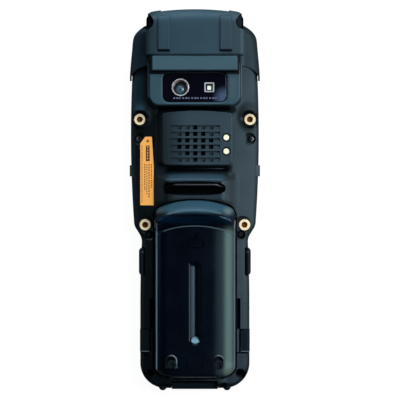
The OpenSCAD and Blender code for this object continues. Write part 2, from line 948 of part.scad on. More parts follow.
module cover_form(d) {
    w = cover_w / 2 - d;
    r = cover_edge_r - d;
    z = cover_z - d;
    rotate([90, 0, 0]) linear_extrude(2 * body_l, center = true) union() {
        translate([-w + r, -1]) square([2 * w - 2 * r, z + 1]);
        translate([-w, -1]) square([2 * w, z - r + 1]);
        for (x = [-1, 1]) translate([x * (w - r), z - r]) circle(r);
    }
}

// Rolled grip across the cover's upper end
roll_r = 4.2;
roll_side_r = 9;
roll_side_x = cover_w / 2 - roll_side_r;

module roll_form(d) {
    top = cover_y1 - roll_y;
    intersection() {
        rotate([90, 0, 90]) linear_extrude(cover_w + 10, center = true) polygon(concat(
            [[top - 12, 10], [top - 12, cover_z - 3], [top - 6.6, cover_z - 0.6 - d]],
            [for (a = [-60:15:50]) [top + (roll_r - d) * sin(a), roll_z - roll_r + (roll_r - d) * cos(a)]],
            [[cover_y1 + 1 - d, ridge_z - 2 - d], [cover_y1 + 1, 10]]
        ));
        rotate([90, 0, 0]) linear_extrude(2 * body_l, center = true) union() {
            translate([-roll_side_x, 0]) square([2 * roll_side_x, roll_z - d + 0.001]);
            translate([-cover_w / 2 + d, 0]) square([cover_w - 2 * d, roll_z - roll_side_r]);
            for (x = [-roll_side_x, roll_side_x]) translate([x, roll_z - roll_side_r]) circle(roll_side_r - d);
        }
    }
}

module cover_body(d) {
    intersection() {
        linear_extrude(40) offset(delta = -d) cover_plan();
        union() {
            cover_form(d);
            roll_form(d);
        }
        end_slope(d);
    }
}

// Side form that rounds the cover's lower end
end_r = 6;

module end_slope(d) {
    rotate([90, 0, 90]) linear_extrude(80, center = true) polygon(concat(
        [[top_y, -1], [top_y, 50], [cover_y1 - 20, 50], [cover_y1 - 20, cover_z - d]],
        arc([cover_y0 + end_r, cover_z - end_r], end_r - d, 90, 180, 6),
        [[cover_y0 + d, -1]]
    ));
}

cover_low_z = 15.6;

module battery_cover() {
    color("#1b2733") difference() {
        union() {
            difference() {
                cover_body(0);
                block(-far, far, low_y, top_y, -2, cover_low_z);
                intersection() {
                    cover_body(cover_t);
                    block(-far, far, low_y, top_y, cover_low_z - 1, 50);
                }
            }
            tabs();
        }
        groove();
        latch_wells();
    }
}

module tabs() {
    for (x = [-tab_x, tab_x]) translate([x - tab_w / 2, cover_y1 - 4, tab_z]) cube([tab_w, tab_l, tab_t]);
}

groove_y0 = cover_y0 + 17.2;

module groove() {
    hull() {
        for (y = [groove_w / 2, groove_l - groove_w / 2])
            translate([0, groove_y0 + y, cover_z - groove_d - 0.9]) cylinder(r = groove_w / 2, h = 20);
    }
}

latch_y = cover_y0 + 8.4;
latch_w = 5.4;
latch_l = 4.6;
latch_play = 0.65;
hook_w = 2.4;
hook_z = cover_z - 6.5;
hook_t = 1;

module latch_wells() {
    for (x = [-1, 1]) {
        translate([x * latch_x, latch_y, cover_z - 3.4])
            plate(latch_w, latch_l + latch_travel + 2 * latch_play, 2, 12);
        translate([x * latch_x - hook_w / 2 - run, cover_y0 - 1, hook_z - run])
            cube([hook_w + 2 * run, latch_y - cover_y0 + 1, hook_t + 2 * run]);
    }
}

module latch(side) {
    color("#222c35") {
        translate([side * latch_x, latch_y - 1, cover_z - 3.2]) plate(latch_w - 0.8, latch_l, 1.4, 2.5);
        translate([side * latch_x, 0, 0]) {
            block(-hook_w / 2, hook_w / 2, cover_y0 - 0.5, latch_y + 0.6, hook_z, hook_z + hook_t);
            block(-hook_w / 2, hook_w / 2, latch_y - 2.6, latch_y + 0.6, hook_z, cover_z - 3.2);
        }
    }
}

module battery_latch_left() {
    latch(-1);
}

module battery_latch_right() {
    latch(1);
}

module battery_pack() {
    color("#3a3f45") difference() {
        union() {
            block(-pack_w / 2, pack_w / 2, pack_y0, pack_y1, bay_z + run, cover_z - cover_edge_r);
            block(-pack_top, pack_top, pack_y0, pack_y1, bay_z + run, cover_z - cover_t - run);
        }
        block(-9, 9, pack_y1 - 3, pack_y1 + 1, bay_z - 1, bay_z + 2);
    }
    color("#d8b45a") for (i = [-2:2]) translate([i * pole_pitch, pack_y1 - 3, bay_z])
        block(-1, 1, 0, 0.4, 0.6, 1.9);
}

module battery_contacts() {
    color("#d8b45a") for (i = [-2:2]) translate([i * pole_pitch, pack_y1, bay_z])
        block(-0.8, 0.8, -2.3, -0.3, 0, 1.7);
}

// Keys at the sides
module side_key(side) {
    color("#161d24")
        block_from(side, side_key_in, side_key_out, side_key_y, side_key_l, key_z, key_z + key_h);
}

module scan_key(side) {
    color("#161d24") intersection() {
        block_from(side, scan_key_in, scan_key_out, scan_key_y, scan_key_l, key_z, 20);
        under_crown(-0.15);
    }
}

module block_from(side, x0, x1, y, l, z0, z1) {
    mirror([side < 0 ? 1 : 0, 0, 0]) block(x0, x1, y - l / 2, y + l / 2, z0, z1);
}

module side_key_left() {
    side_key(-1);
}

module side_key_right() {
    side_key(1);
}

module scan_key_left() {
    scan_key(-1);
}

module scan_key_right() {
    scan_key(1);
}

// Rubber lid over a side port: a side plate and a lap on the back
lid_t = 1.4;
lap_z = 14.2;

module port_cover(side) {
    color("#10202b") mirror([side < 0 ? 1 : 0, 0, 0]) intersection() {
        union() {
            block(port_x - lid_t, port_x + 0.15, port_y0, port_y1, usb_z0 - 0.7, 20);
            block(port_in_x, port_x, port_y0, port_y1, lap_z, 20);
        }
        under_crown(-0.1);
    }
}

module port_cover_left() {
    port_cover(-1);
}

module port_cover_right() {
    port_cover(1);
}

module port_cut() {
    block(grip_w / 2 - 8, far, port_y0 + 1, port_y1 - 1, usb_z0, front_top_z + 1);
}

// Sockets, measured inward from the side of the grip
usb_w = 9;
usb_h = 3.2;
usb_wall = 0.4;
socket_in = 1.8;
socket_deep = 7.5;
socket_l = 7.2;
jack_r = 1.3;
jack_w = 6;

module usb_port() {
    translate([port_x, port_y0 + port_l / 2, usb_z0]) {
        color("#b8bec4") difference() {
            block(-socket_in - socket_l, -socket_in, -usb_w / 2, usb_w / 2, 0, usb_h);
            block(-socket_deep, 0, -usb_w / 2 + usb_wall, usb_w / 2 - usb_wall, usb_wall, usb_h - usb_wall);
        }
        color("#15181c") block(-socket_deep, -3, -3, 3, 1.2, 2);
    }
}

module audio_jack() {
    color("#15181c") translate([-port_x, port_y0 + port_l / 2, usb_z0]) difference() {
        block(socket_in, socket_in + socket_l, -jack_w / 2, jack_w / 2, 0, front_top_z - usb_z0 - 0.2);
        translate([0, 0, 1.7]) rotate([0, 90, 0]) cylinder(r = jack_r, h = socket_deep);
    }
}

// Boards and what they carry
module main_board() {
    color("#1f5a3a") difference() {
        translate([0, 0, board_z]) linear_extrude(board_t) intersection() {
            body_plan(wall + 0.3);
            translate([0, (board_y0 + board_y1) / 2]) square([80, board_y1 - board_y0], center = true);
        }
        screw_posts(post_r + run);
        mirrored() port_pocket();
    }
}

can_x = insert_up_x - insert_well_r - 1.6;
can_w = 20;
can_l = bezel_l + 9.3;
can_y1 = glass_y - 4.5;

module shield_cans() {
    color("#b9bec3") {
        block(-can_x, -can_x + can_w, can_y1 - can_l, can_y1, usb_z0, rear_low_z + 0.5);
        block(0, can_w + 2, can_y1 - can_l + 4, can_y1 - 2, usb_z0, rear_low_z + 0.5);
    }
}

card_w = 24;
card_l = 18;
card_t = 2.4;
card_x0 = 13.6 - upper_w / 2;
card_y1 = shoulder_y - 10.5;
motor_r = 4;
motor_t = 3;
motor_in = 9.6;
motor_y = valley_y - 6.3;

module card_socket() {
    color("#c4c8cc") translate([card_x0, card_y1 - card_l, usb_z0]) cube([card_w, card_l, card_t]);
}

module vibration_motor() {
    color("#8f959b") translate([upper_w / 2 - motor_in, motor_y, usb_z0]) cylinder(r = motor_r, h = motor_t);
}

module display_module() {
    color("#2b2e33") translate([0, screen_y, glass_in + glass_t])
        plate(screen_w - 3.4, screen_l - 3.4, 1.8, board_z - glass_in - glass_t);
}

module touch_glass() {
    color("#07090c") translate([0, screen_y, glass_in]) plate(screen_w, screen_l, 2.9, glass_t);
}

earpiece_y = top_y - 9;
earpiece_w = 14;
earpiece_l = 2.4;

module earpiece_cut() {
    translate([0, earpiece_y, -1]) plate(earpiece_w, earpiece_l, 1, 10);
}

module earpiece() {
    color("#3b4046") {
        translate([0, earpiece_y, 0.6]) plate(earpiece_w - 0.2, earpiece_l - 0.2, 0.9, plate_t - 0.6);
        translate([0, earpiece_y, plate_t]) plate(earpiece_w + 4, earpiece_l + 3.6, 1, 3);
    }
}

// Keys on the front, as column, row, width and length
small_l = keycap_l - 1.2;
scan_grow = 3.4;
key_y1 = screen_y - screen_l / 2 - 0.6 * key_pitch_x;
digit_y1 = key_y1 - 1.5 * key_pitch_y;
keys = concat(
    [["key_menu", -key_pitch_x, key_y1, keycap_w, small_l]],
    [["key_scan_front", 0, key_y1 - 1, keycap_w + 1, keycap_l + scan_grow]],
    [["key_back", key_pitch_x, key_y1, keycap_w, small_l]],
    [
        for (row = [0:3])
        for (col = [0:2])
        let (labels = ["1", "2", "3", "4", "5", "6", "7", "8", "9", "star", "0", "hash"])
        let (x = (col - 1) * key_pitch_x)
        [str("key_", labels[3 * row + col]), x, digit_y1 - row * key_pitch_y, keycap_w, keycap_l]
    ]
);
key_r = 1.6;
flange = 0.8;
flange_z = plate_t + run;

module key_cut(k) {
    translate([k[1], k[2], -1]) plate(k[3] + 2 * run, k[4] + 2 * run, key_r + run, 10);
}

module keycap(k) {
    color("#3c464f") translate([k[1], k[2], 0]) {
        translate([0, 0, 0.5]) plate(k[3], k[4], key_r, flange_z - 0.5);
        translate([0, 0, flange_z]) plate(k[3] + 2 * flange, k[4] + 2 * flange, key_r + flange, flange);
    }
}

mat_z = flange_z + flange + key_travel + run;
mat_y0 = digit_y1 - 3 * key_pitch_y - 7;
mat_w = 2 * (key_pitch_x + keycap_w / 2 + flange);

module keypad_mat() {
    color("#20262b") difference() {
        block(-mat_w / 2, mat_w / 2, mat_y0, key_y1 + small_l, mat_z, board_z);
        screw_posts(post_r + run);
    }
}

// Scanner
module scan_window() {
    color("#3a0a10") translate([0, window_y - 0.6, window_z0])
        block(-window_w / 2 + 0.1, window_w / 2 - 0.1, 0, 1.2, 0.1, window_h - 0.1);
}

engine_w = 28;
engine_y1 = window_y - 1.4;
engine_eye_x = -4;
engine_eye_r = 3;
engine_lamp_x = 6;
engine_lamp_r = 2;
engine_eye_z = window_z0 + window_h / 2 + 0.2;

module scan_engine() {
    color("#24282d") difference() {
        block(-engine_w / 2, engine_w / 2, head_y0 + 3.6, engine_y1, rear_low_z + 0.6, core_z - wall - 0.1);
        translate([engine_eye_x, engine_y1, engine_eye_z]) rotate([90, 0, 0])
            cylinder(r = engine_eye_r, h = 3);
        translate([engine_lamp_x, engine_y1, engine_eye_z]) rotate([90, 0, 0])
            cylinder(r = engine_lamp_r, h = 3);
    }
}

STATIC = [
    "rear_housing", "front_housing", "housing_gasket", "top_bumper", "bottom_cap",
    "camera_bezel", "camera_glass",
    "lens_ring", "camera_lens", "camera_module", "flash_frame", "flash_led", "speaker_panel", "speaker",
    "grip_contacts", "threaded_inserts", "housing_screws", "label_plate", "strap_bar", "battery_contacts",
    "main_board", "shield_cans", "display_module", "touch_glass", "earpiece", "keypad_mat", "scan_engine",
    "scan_window", "dock_connector", "usb_port", "audio_jack", "card_socket", "vibration_motor", "flap_pin"
];
MOVING = [
    "battery_cover", "battery_pack", "battery_latch_left", "battery_latch_right", "dock_flap",
    "port_cover_left", "port_cover_right", "side_key_left", "side_key_right", "scan_key_left", "scan_key_right"
];

rear_housing();
front_housing();
housing_gasket();
top_bumper();
bottom_cap();
camera_bezel();
camera_glass();
lens_ring();
camera_lens();
camera_module();
flash_frame();
flash_led();
speaker_panel();
speaker();
grip_contacts();
threaded_inserts();
housing_screws();
label_plate();
strap_bar();
battery_contacts();
main_board();
shield_cans();
display_module();
touch_glass();
earpiece();
keypad_mat();
scan_engine();
scan_window();
dock_connector();
usb_port();
audio_jack();
card_socket();
vibration_motor();
flap_pin();
battery_cover();
battery_pack();
battery_latch_left();
battery_latch_right();
dock_flap();
port_cover_left();
port_cover_right();
side_key_left();
side_key_right();
scan_key_left();
scan_key_right();
for (k = keys) keycap(k);
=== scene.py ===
# %% [markdown]
# # A portable barcode data terminal
#
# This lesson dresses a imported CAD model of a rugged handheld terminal. The CAD part gives
# every size and every moving joint. Blender gives the moulded skins, the soft edges, the
# finishes and the light. Read it cell by cell, as a notebook.

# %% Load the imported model
import json
import math

import bmesh
import bpy
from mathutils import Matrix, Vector


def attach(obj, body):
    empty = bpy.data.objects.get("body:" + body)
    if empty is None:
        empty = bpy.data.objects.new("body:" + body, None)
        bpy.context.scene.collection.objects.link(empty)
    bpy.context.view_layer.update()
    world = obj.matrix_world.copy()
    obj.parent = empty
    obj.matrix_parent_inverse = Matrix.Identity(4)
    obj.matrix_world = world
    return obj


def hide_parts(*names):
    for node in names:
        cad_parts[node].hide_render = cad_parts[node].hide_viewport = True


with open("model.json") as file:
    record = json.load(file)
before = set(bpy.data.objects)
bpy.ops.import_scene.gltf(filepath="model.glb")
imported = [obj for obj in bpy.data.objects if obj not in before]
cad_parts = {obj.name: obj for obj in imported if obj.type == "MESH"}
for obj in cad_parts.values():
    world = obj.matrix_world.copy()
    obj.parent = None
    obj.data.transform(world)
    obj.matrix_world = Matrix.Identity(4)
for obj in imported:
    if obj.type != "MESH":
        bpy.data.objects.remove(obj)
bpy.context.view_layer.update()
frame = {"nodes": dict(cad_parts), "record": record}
nodes = frame["nodes"]
MM = 0.001

# %% [markdown]
# ## Camera
#
# The terminal lies on its keypad side and the camera looks straight down on its back. A long
# lens keeps the outline true, so that the raised head doesn't lean outwards.

# %% Camera straight above the back
CAMERA_LENS = 300
CAMERA_SENSOR = 36
FRAME_WIDTH = 210 * MM
SUBJECT_HEIGHT = 13 * MM
FRAME_CENTRE = (2.7 * MM, -0.3 * MM)
scene = bpy.context.scene


def make_camera():
    data = bpy.data.cameras.new("camera")
    data.lens = CAMERA_LENS
    data.sensor_width = CAMERA_SENSOR
    camera = bpy.data.objects.new("camera", data)
    scene.collection.objects.link(camera)
    distance = FRAME_WIDTH * CAMERA_LENS / CAMERA_SENSOR
    camera.location = (*FRAME_CENTRE, SUBJECT_HEIGHT + distance)
    scene.camera = camera


make_camera()
print("camera height", round(scene.camera.location.z, 3), "m")

# %% [markdown]
# ## Shader nodes
#
# Every finish below is a small tree of shader nodes. One helper adds a node, sets its options
# and fills its sockets, with a plain value or with the output of another node.

# %% A helper for shader nodes


def add_node(tree, kind, sockets=None, **options):
    """Adds a shader node. What fills a socket is a value or another node's output."""
    made = tree.nodes.new("ShaderNode" + kind)
    for option, choice in options.items():
        setattr(made, option, choice)
    for socket, filling in (sockets or {}).items():
        if isinstance(filling, bpy.types.NodeSocket):
            tree.links.new(filling, made.inputs[socket])
        else:
            made.inputs[socket].default_value = filling
    return made


def two_tone_ramp(tree, source, low, high, at):
    """A colour that runs from low to high between two values of its source."""
    made = add_node(tree, "ValToRGB", {"Fac": source})
    for element, place, colour in zip(made.color_ramp.elements, at, (low, high)):
        element.position = place
        element.color = (*colour, 1)
    return made.outputs["Color"]


def scaled_colour(tree, colour, scale):
    made = add_node(tree, "VectorMath", {0: colour, "Scale": scale}, operation="SCALE")
    return made.outputs[0]


# %% [markdown]
# ## Floor, walls and lamps
#
# The floor is a pale sheet. Camera and transmission rays see it as clean white paper,
# and every other ray sees a plain pale surface, so the shadow under the terminal stays. The
# world is a studio with pale walls and a dark ceiling: that dark ceiling is what black
# plastic shows when one looks straight down on it.

# %% Floor
scene.view_settings.view_transform = "Standard"
FLOOR_SIZE = 8
FLOOR_Z = -0.2 * MM
PAPER = (0.82, 0.82, 0.82, 1)
PAPER_IN_GLOSS = (0.12, 0.13, 0.14, 1)
PAPER_GLOW = 1.08
GLOW_SHARE = 0.88


def clear_selection():
    if bpy.context.object and bpy.context.object.mode != "OBJECT":
        bpy.ops.object.mode_set(mode="OBJECT")
    bpy.ops.object.select_all(action="DESELECT")


def ray_is_seen(tree):
    """A node socket that is 1 for camera and transmission rays."""
    path = add_node(tree, "LightPath")
    either = {0: path.outputs["Is Camera Ray"], 1: path.outputs["Is Transmission Ray"]}
    return add_node(tree, "Math", either, operation="MAXIMUM").outputs[0]


def make_floor():
    clear_selection()
    bpy.ops.mesh.primitive_plane_add(size=FLOOR_SIZE, location=(0, 0, FLOOR_Z))
    floor = bpy.context.object
    floor.name = "floor"
    bpy.ops.object.transform_apply(location=True)
    material = bpy.data.materials.new("paper")
    material.use_nodes = True
    tree = material.node_tree
    paper = tree.nodes["Principled BSDF"]
    gloss = add_node(tree, "LightPath").outputs["Is Glossy Ray"]
    shade = add_node(
        tree, "Mix", {"A": PAPER, "B": PAPER_IN_GLOSS, "Factor": gloss}, data_type="RGBA",
    )
    tree.links.new(shade.outputs["Result"], paper.inputs["Base Color"])
    paper.inputs["Roughness"].default_value = 0.9
    white = add_node(tree, "Emission", {"Strength": PAPER_GLOW})
    share = add_node(tree, "Math", {0: ray_is_seen(tree), 1: GLOW_SHARE}, operation="MULTIPLY")
    both = add_node(
        tree, "MixShader", {0: share.outputs[0], 1: paper.outputs[0], 2: white.outputs[0]},
    )
    tree.links.new(both.outputs[0], tree.nodes["Material Output"].inputs["Surface"])
    floor.data.materials.append(material)


make_floor()
print("floor", FLOOR_SIZE, "m wide")

# %% World
WALLS_TO_CEILING = (0.30, 0.62)
WALL_COLOUR = (0.72, 0.90, 1.0)
CEILING_COLOUR = (0.035, 0.04, 0.045)
FILL_STRENGTH = 0.8
BRIGHT_SIDE = (0.55, 0.83, 0.0)
FADE_FROM = -0.45
FADE_TO = 0.75
DARK_SIDE_SHARE = 0.09


def make_world():
    """A pale studio with a dark ceiling, which is white only where the camera sees it."""
    world = bpy.data.worlds.new("studio")
    scene.world = world
    world.use_nodes = True
    tree = world.node_tree
    around = add_node(tree, "TexCoord").outputs["Generated"]
    height = add_node(tree, "SeparateXYZ", {0: around}).outputs["Z"]
    walls = two_tone_ramp(tree, height, WALL_COLOUR, CEILING_COLOUR, WALLS_TO_CEILING)
    side = add_node(tree, "VectorMath", {0: around, 1: BRIGHT_SIDE}, operation="DOT_PRODUCT")
    fade = add_node(tree, "MapRange", {
        "Value": side.outputs["Value"], "From Min": FADE_FROM, "From Max": FADE_TO,
        "To Min": DARK_SIDE_SHARE,
    }, interpolation_type="SMOOTHSTEP")
    shaded = scaled_colour(tree, walls, fade.outputs["Result"])
    camera_ray = add_node(tree, "LightPath").outputs["Is Camera Ray"]
    white = add_node(
        tree, "Mix", {"A": shaded, "B": (1, 1, 1, 1), "Factor": camera_ray}, data_type="RGBA",
    )
    strength = add_node(tree, "MapRange", {
        "Value": ray_is_seen(tree), "To Min": FILL_STRENGTH, "To Max": 1.0,
    })
    background = tree.nodes["Background"]
    tree.links.new(white.outputs["Result"], background.inputs["Color"])
    tree.links.new(strength.outputs[0], background.inputs["Strength"])


make_world()
print("world", scene.world.name)

# %% Lamps
LAMP_TARGET = (0, 0, 0.01)


def softbox(name, place, size, watts, colour):
    data = bpy.data.lights.new(name, "AREA")
    data.shape = "RECTANGLE"
    data.size, data.size_y = size
    data.energy = watts
    data.color = colour
    lamp = bpy.data.objects.new(name, data)
    scene.collection.objects.link(lamp)
    lamp.location = place
    aim = Vector(place) - Vector(LAMP_TARGET)
    lamp.rotation_euler = aim.to_track_quat("Z", "Y").to_euler()
    lamp.visible_camera = False


softbox("top_box", (-0.05, 0.95, 0.46), (1.2, 0.45), 13, (0.86, 0.96, 1.0))
softbox("sheen_box", (0.68, 0.12, 1.0), (0.5, 0.9), 11, (0.93, 0.97, 1.0))
softbox("right_box", (1.0, 0.0, 0.34), (0.4, 1.1), 5.2, (0.92, 0.98, 1.0))
softbox("left_strip", (-1.0, 0.1, 0.12), (0.12, 0.9), 0.9, (0.80, 0.90, 1.0))

# %% [markdown]
# ## Finishes
#
# Rugged housings are spark-eroded plastic with a very fine grain; some bright lines along their
# edges are painted highlights, added further on. One recipe makes them all. Noise on Object
# coordinates varies the colour and roughness a little, and a fine bump gives the grain.

# %% A recipe for moulded plastic and rubber
SHEEN_TINT = (0.55, 0.80, 1.0, 1)
NOISE_RANGE = (0.3, 0.7)
CLOUD_SCALE = 38
WEAR_SCALE = 90
GRAIN_SCALE = 2600
BRUSH_SCALE = 900
TARNISH_SCALE = 400


def new_material(name):
    material = bpy.data.materials.new(name)
    material.use_nodes = True
    tree = material.node_tree
    return material, tree, tree.nodes["Principled BSDF"]


def object_place(tree):
    return add_node(tree, "TexCoord").outputs["Object"]


def noise(tree, scale, detail=3.0, rough=0.55):
    return add_node(tree, "TexNoise", {
        "Vector": object_place(tree), "Scale": scale, "Detail": detail, "Roughness": rough,
    }).outputs["Fac"]


def tint(tree, shader, source, low, high):
    """Lets the base colour run from low to high with a noise."""
    colour = two_tone_ramp(tree, source, low, high, NOISE_RANGE)
    tree.links.new(colour, shader.inputs["Base Color"])


def roughen(tree, shader, source, rough, vary):
    """Varies the roughness round its value with a noise."""
    spread = add_node(tree, "MapRange", {
        "Value": source, "From Min": NOISE_RANGE[0], "From Max": NOISE_RANGE[1],
        "To Min": rough - vary, "To Max": rough + vary,
    })
    tree.links.new(spread.outputs["Result"], shader.inputs["Roughness"])


def grain(tree, shader, source, height):
    bump = add_node(tree, "Bump", {"Height": source, "Strength": 0.5, "Distance": height * MM})
    tree.links.new(bump.outputs["Normal"], shader.inputs["Normal"])


def plastic(name, colour, rough=0.42, specular=0.25, vary=0.12, height=0.03):
    material, tree, shader = new_material(name)
    low = [c * (1 - vary) for c in colour]
    high = [c * (1 + vary) for c in colour]
    tint(tree, shader, noise(tree, CLOUD_SCALE), low, high)
    roughen(tree, shader, noise(tree, WEAR_SCALE), rough, 0.04)
    shader.inputs["Specular IOR Level"].default_value = specular
    shader.inputs["Specular Tint"].default_value = SHEEN_TINT
    grain(tree, shader, noise(tree, GRAIN_SCALE, 2), height)
    return material


def metal(name, colour, rough=0.3, metallic=1.0):
    material, tree, shader = new_material(name)
    brushed = noise(tree, BRUSH_SCALE, 4, 0.6)
    tint(tree, shader, brushed, [c * 0.85 for c in colour], colour)
    roughen(tree, shader, noise(tree, TARNISH_SCALE), rough, 0.06)
    shader.inputs["Metallic"].default_value = metallic
    grain(tree, shader, brushed, 0.004)
    return material


# %% The finishes of this object
SHELL = plastic("shell_plastic", (0.0085, 0.0125, 0.0130), rough=0.42)
BUMPER = plastic("bumper_rubber", (0.0205, 0.0425, 0.058), rough=0.5)
PANEL = plastic("panel_plastic", (0.0225, 0.037, 0.048), rough=0.46)
BARREL = plastic("lens_barrel", (0.13, 0.065, 0.05), rough=0.3, specular=0.5, height=0.0)
BEZEL = plastic("bezel_plastic", (0.026, 0.055, 0.072), rough=0.40)
CAP = plastic("cap_plastic", (0.0022, 0.0036, 0.0055), rough=0.45)
COVER = plastic("cover_plastic", (0.0006, 0.0016, 0.0042), rough=0.23)
GASKET = plastic("gasket_rubber", (0.006, 0.006, 0.007), rough=0.6)
MODULE = plastic("black_moulding", (0.006, 0.006, 0.008), rough=0.4)
KEYCAP = plastic("keycap_plastic", (0.016, 0.020, 0.024), rough=0.4)
PAD = plastic("pad_rubber", (0.0012, 0.0018, 0.0035), rough=0.5, specular=0.15)
LID = plastic("lid_rubber", (0.0019, 0.0058, 0.0100), rough=0.5, specular=0.12)
PACK = plastic("pack_plastic", (0.03, 0.032, 0.036), rough=0.5)
BOARD = plastic("board_mask", (0.008, 0.08, 0.035), rough=0.35)
GLASS = plastic("cover_glass", (0.004, 0.005, 0.007), rough=0.06, height=0.0)
LENS_GLASS = plastic("camera_glass", (0.002, 0.002, 0.005), rough=0.08, specular=0.5, height=0.0)
WINDOW = plastic("window_filter", (0.05, 0.003, 0.006), rough=0.08, height=0.0)
LABEL = plastic("label_film", (1.0, 0.45, 0.108), rough=0.4, vary=0.03, height=0.005)
INK = plastic("brown_ink", (0.30, 0.085, 0.018), rough=0.5, vary=0.05, height=0.0)
DARK_INK = plastic("dark_ink", (0.085, 0.022, 0.006), rough=0.5, vary=0.05, height=0.0)
TICK_INK = plastic("pale_ink", (0.10, 0.11, 0.17), rough=0.5, height=0.0)
SIGN_SHADE = plastic("sunk_sign", (0.0002, 0.0003, 0.0006), rough=0.5, specular=0.04)
RIM = plastic("latch_rims", (0.022, 0.032, 0.040), rough=0.42)
LATCH = plastic("latch_plastic", (0.004, 0.006, 0.010), rough=0.3, specular=0.5)
LED = plastic("led_phosphor", (0.85, 0.87, 0.72), rough=0.3, vary=0.05)
LENS = plastic("lens_coating", (0.06, 0.10, 0.14), rough=0.1, specular=0.6, vary=0.2, height=0.0)
GOLD = metal("contact_gold", (1.0, 0.95, 0.70), rough=0.5, metallic=0.25)
BRASS = metal("insert_brass", (1.0, 0.83, 0.56), rough=0.45, metallic=0.35)
SHADED_BORE_BRASS = metal("shaded_bore_brass", (0.30, 0.13, 0.03), rough=0.4, metallic=0.5)
STEEL = metal("bright_steel", (0.11, 0.12, 0.14), rough=0.42, metallic=0.6)
BLACK_STEEL = metal("blackened_steel", (0.16, 0.18, 0.20), rough=0.35)
SCREW = metal("screw_steel", (0.035, 0.038, 0.042), rough=0.3)
SILVER = metal("turned_ring", (0.50, 0.53, 0.55), rough=0.35, metallic=0.7)
CAN = metal("tinned_steel", (0.60, 0.61, 0.63), rough=0.35)
print(len(bpy.data.materials), "materials")

# %% Every CAD node gets its finish
FINISHES = {
    "shell": SHELL, "bumper": BUMPER, "bezel": BEZEL, "cap": CAP, "cover": COVER,
    "gasket": GASKET, "lens_glass": LENS_GLASS, "lens": LENS, "ring": SILVER,
    "module": MODULE, "led": LED, "gold": GOLD, "brass": BRASS, "screw": BLACK_STEEL,
    "label": LABEL, "steel": STEEL, "board": BOARD, "can": CAN, "display": MODULE,
    "glass": GLASS, "keycap": KEYCAP, "rubber_lid": LID, "pack": PACK,
    "window": WINDOW, "mesh": MODULE,
}
for part in frame["record"]["subparts"]:
    node_materials = nodes[part["node"]].data.materials
    if not node_materials:
        node_materials.append(None)
    for i in range(len(node_materials)):
        node_materials[i] = FINISHES[part["material_slot"]]

# %% [markdown]
# ## Painted light and shade in single places
#
# Some places of a moulding get painted light or shade, darker or paler than the rest, and some a
# glossier roughness: painted shade keeps a deep valley black, and a painted highlight draws a
# bright line along an edge. Painting a picture of that would fix its size. A soft box in Object
# coordinates does it with a few numbers instead.

# %% A soft box and a change of tone inside it
FAR_UP = 100


def multiplied(tree, a, b):
    return add_node(tree, "Math", {0: a, 1: b}, operation="MULTIPLY").outputs[0]


def zone(tree, box, soft, centre=None, above=None):
    """1 inside a box of the back, in millimetres, falling to 0 over a soft rim.

    With a centre, the box runs round it: its last two values are radii. With a height
    above, what lies lower keeps its own tone.
    """
    split = add_node(tree, "SeparateXYZ", {0: object_place(tree)}).outputs
    along = split["Y"]
    if centre:
        flat = add_node(tree, "CombineXYZ", {"X": split["X"], "Y": split["Y"]})
        middle = (centre[0] * MM, centre[1] * MM, 0)
        away = add_node(tree, "VectorMath", {0: flat.outputs[0], 1: middle}, operation="DISTANCE")
        along = away.outputs["Value"]
    share = None
    ranges = [(split["X"], box[0], box[1]), (along, box[2], box[3])]
    if above:
        ranges.append((split["Z"], above, FAR_UP))
    for source, low, high in ranges:
        for edge, before, after in ((low, 0, 1), (high, 1, 0)):
            step = add_node(tree, "MapRange", {
                "Value": source, "From Min": (edge - soft) * MM, "From Max": (edge + soft) * MM,
                "To Min": before, "To Max": after,
            }, interpolation_type="SMOOTHSTEP").outputs["Result"]
            share = multiplied(tree, share, step) if share else step
    return share


def blend_in(tree, shader, socket, share, value, **options):
    """Blends a value over what fills a socket of the shader, where share is 1."""
    plain = shader.inputs[socket].links[0].from_socket
    both = add_node(tree, "Mix", {"A": plain, "B": value, "Factor": share}, **options)
    tree.links.new(both.outputs["Result"], shader.inputs[socket])


def paint_light(material, colour, box, soft=0.9, rough=None, centre=None, above=None):
    """Paints light or shade into a place's colour, and gives it its own roughness where a value is named.
    """
    tree = material.node_tree
    shader = tree.nodes["Principled BSDF"]
    share = zone(tree, box, soft, centre, above)
    blend_in(tree, shader, "Base Color", share, (*colour, 1), data_type="RGBA")
    if rough is not None:
        blend_in(tree, shader, "Roughness", share, rough)


def shade_left(material, left_share, x0=-26, x1=22):
    """Paints shade into a moulding's colour, darker toward its left side."""
    tree = material.node_tree
    shader = tree.nodes["Principled BSDF"]
    plain = shader.inputs["Base Color"].links[0].from_socket
    split = add_node(tree, "SeparateXYZ", {0: object_place(tree)})
    share = add_node(tree, "MapRange", {
        "Value": split.outputs["X"], "From Min": x0 * MM, "From Max": x1 * MM, "To Min": left_share,
    })
    tree.links.new(scaled_colour(tree, plain, share.outputs["Result"]), shader.inputs["Base Color"])


# Painted shade: the left sides, away from the lamps, are darker in the colour itself.
for material, left_share in ((SHELL, 0.25), (CAP, 0.4), (LID, 0.25)):
    shade_left(material, left_share)
shade_left(PANEL, 0.12, -16.5, -4.5)
shade_left(BUMPER, 0.3, -26, -17)
print("panel", len(PANEL.node_tree.nodes), "shader nodes")

# %% Places that pieces and tones share
INSERTS = ((28.9, 41.95, 15.2), (26.05, -13.3, 16.2))
SCREWS = ((29.6, 31.75, 14.2), (24.2, -18.4, 13.0), (23.7, -90.9, 13.0))
SCOOP_PLACE = (25.6, 92.8)
RIB_X = 16.2
LENS_X = -7.5
LAMP_X = 7.5
GLASS_Y = 58.5
ALL_X = (-40, 40)


def paint_light_all(material, *places):
    """Paints light or shade into places one after another, each over those before it.

    A place has a colour, a box as x0, x1, y0 and y1, and the width of its soft rim. Where it
    needs them, its roughness, its centre and its lowest height follow.
    """
    for place in places:
        paint_light(material, *place)


def beside(x, reach):
    """The lowest and highest x within a reach of a line."""
    return x - reach, x + reach


def outer(side, x):
    """From x outwards, on the left for side -1 and on the right for side 1."""
    return sorted((side * x, side * ALL_X[1]))


print(2 * len(INSERTS), "inserts and", 2 * len(SCREWS), "screws")

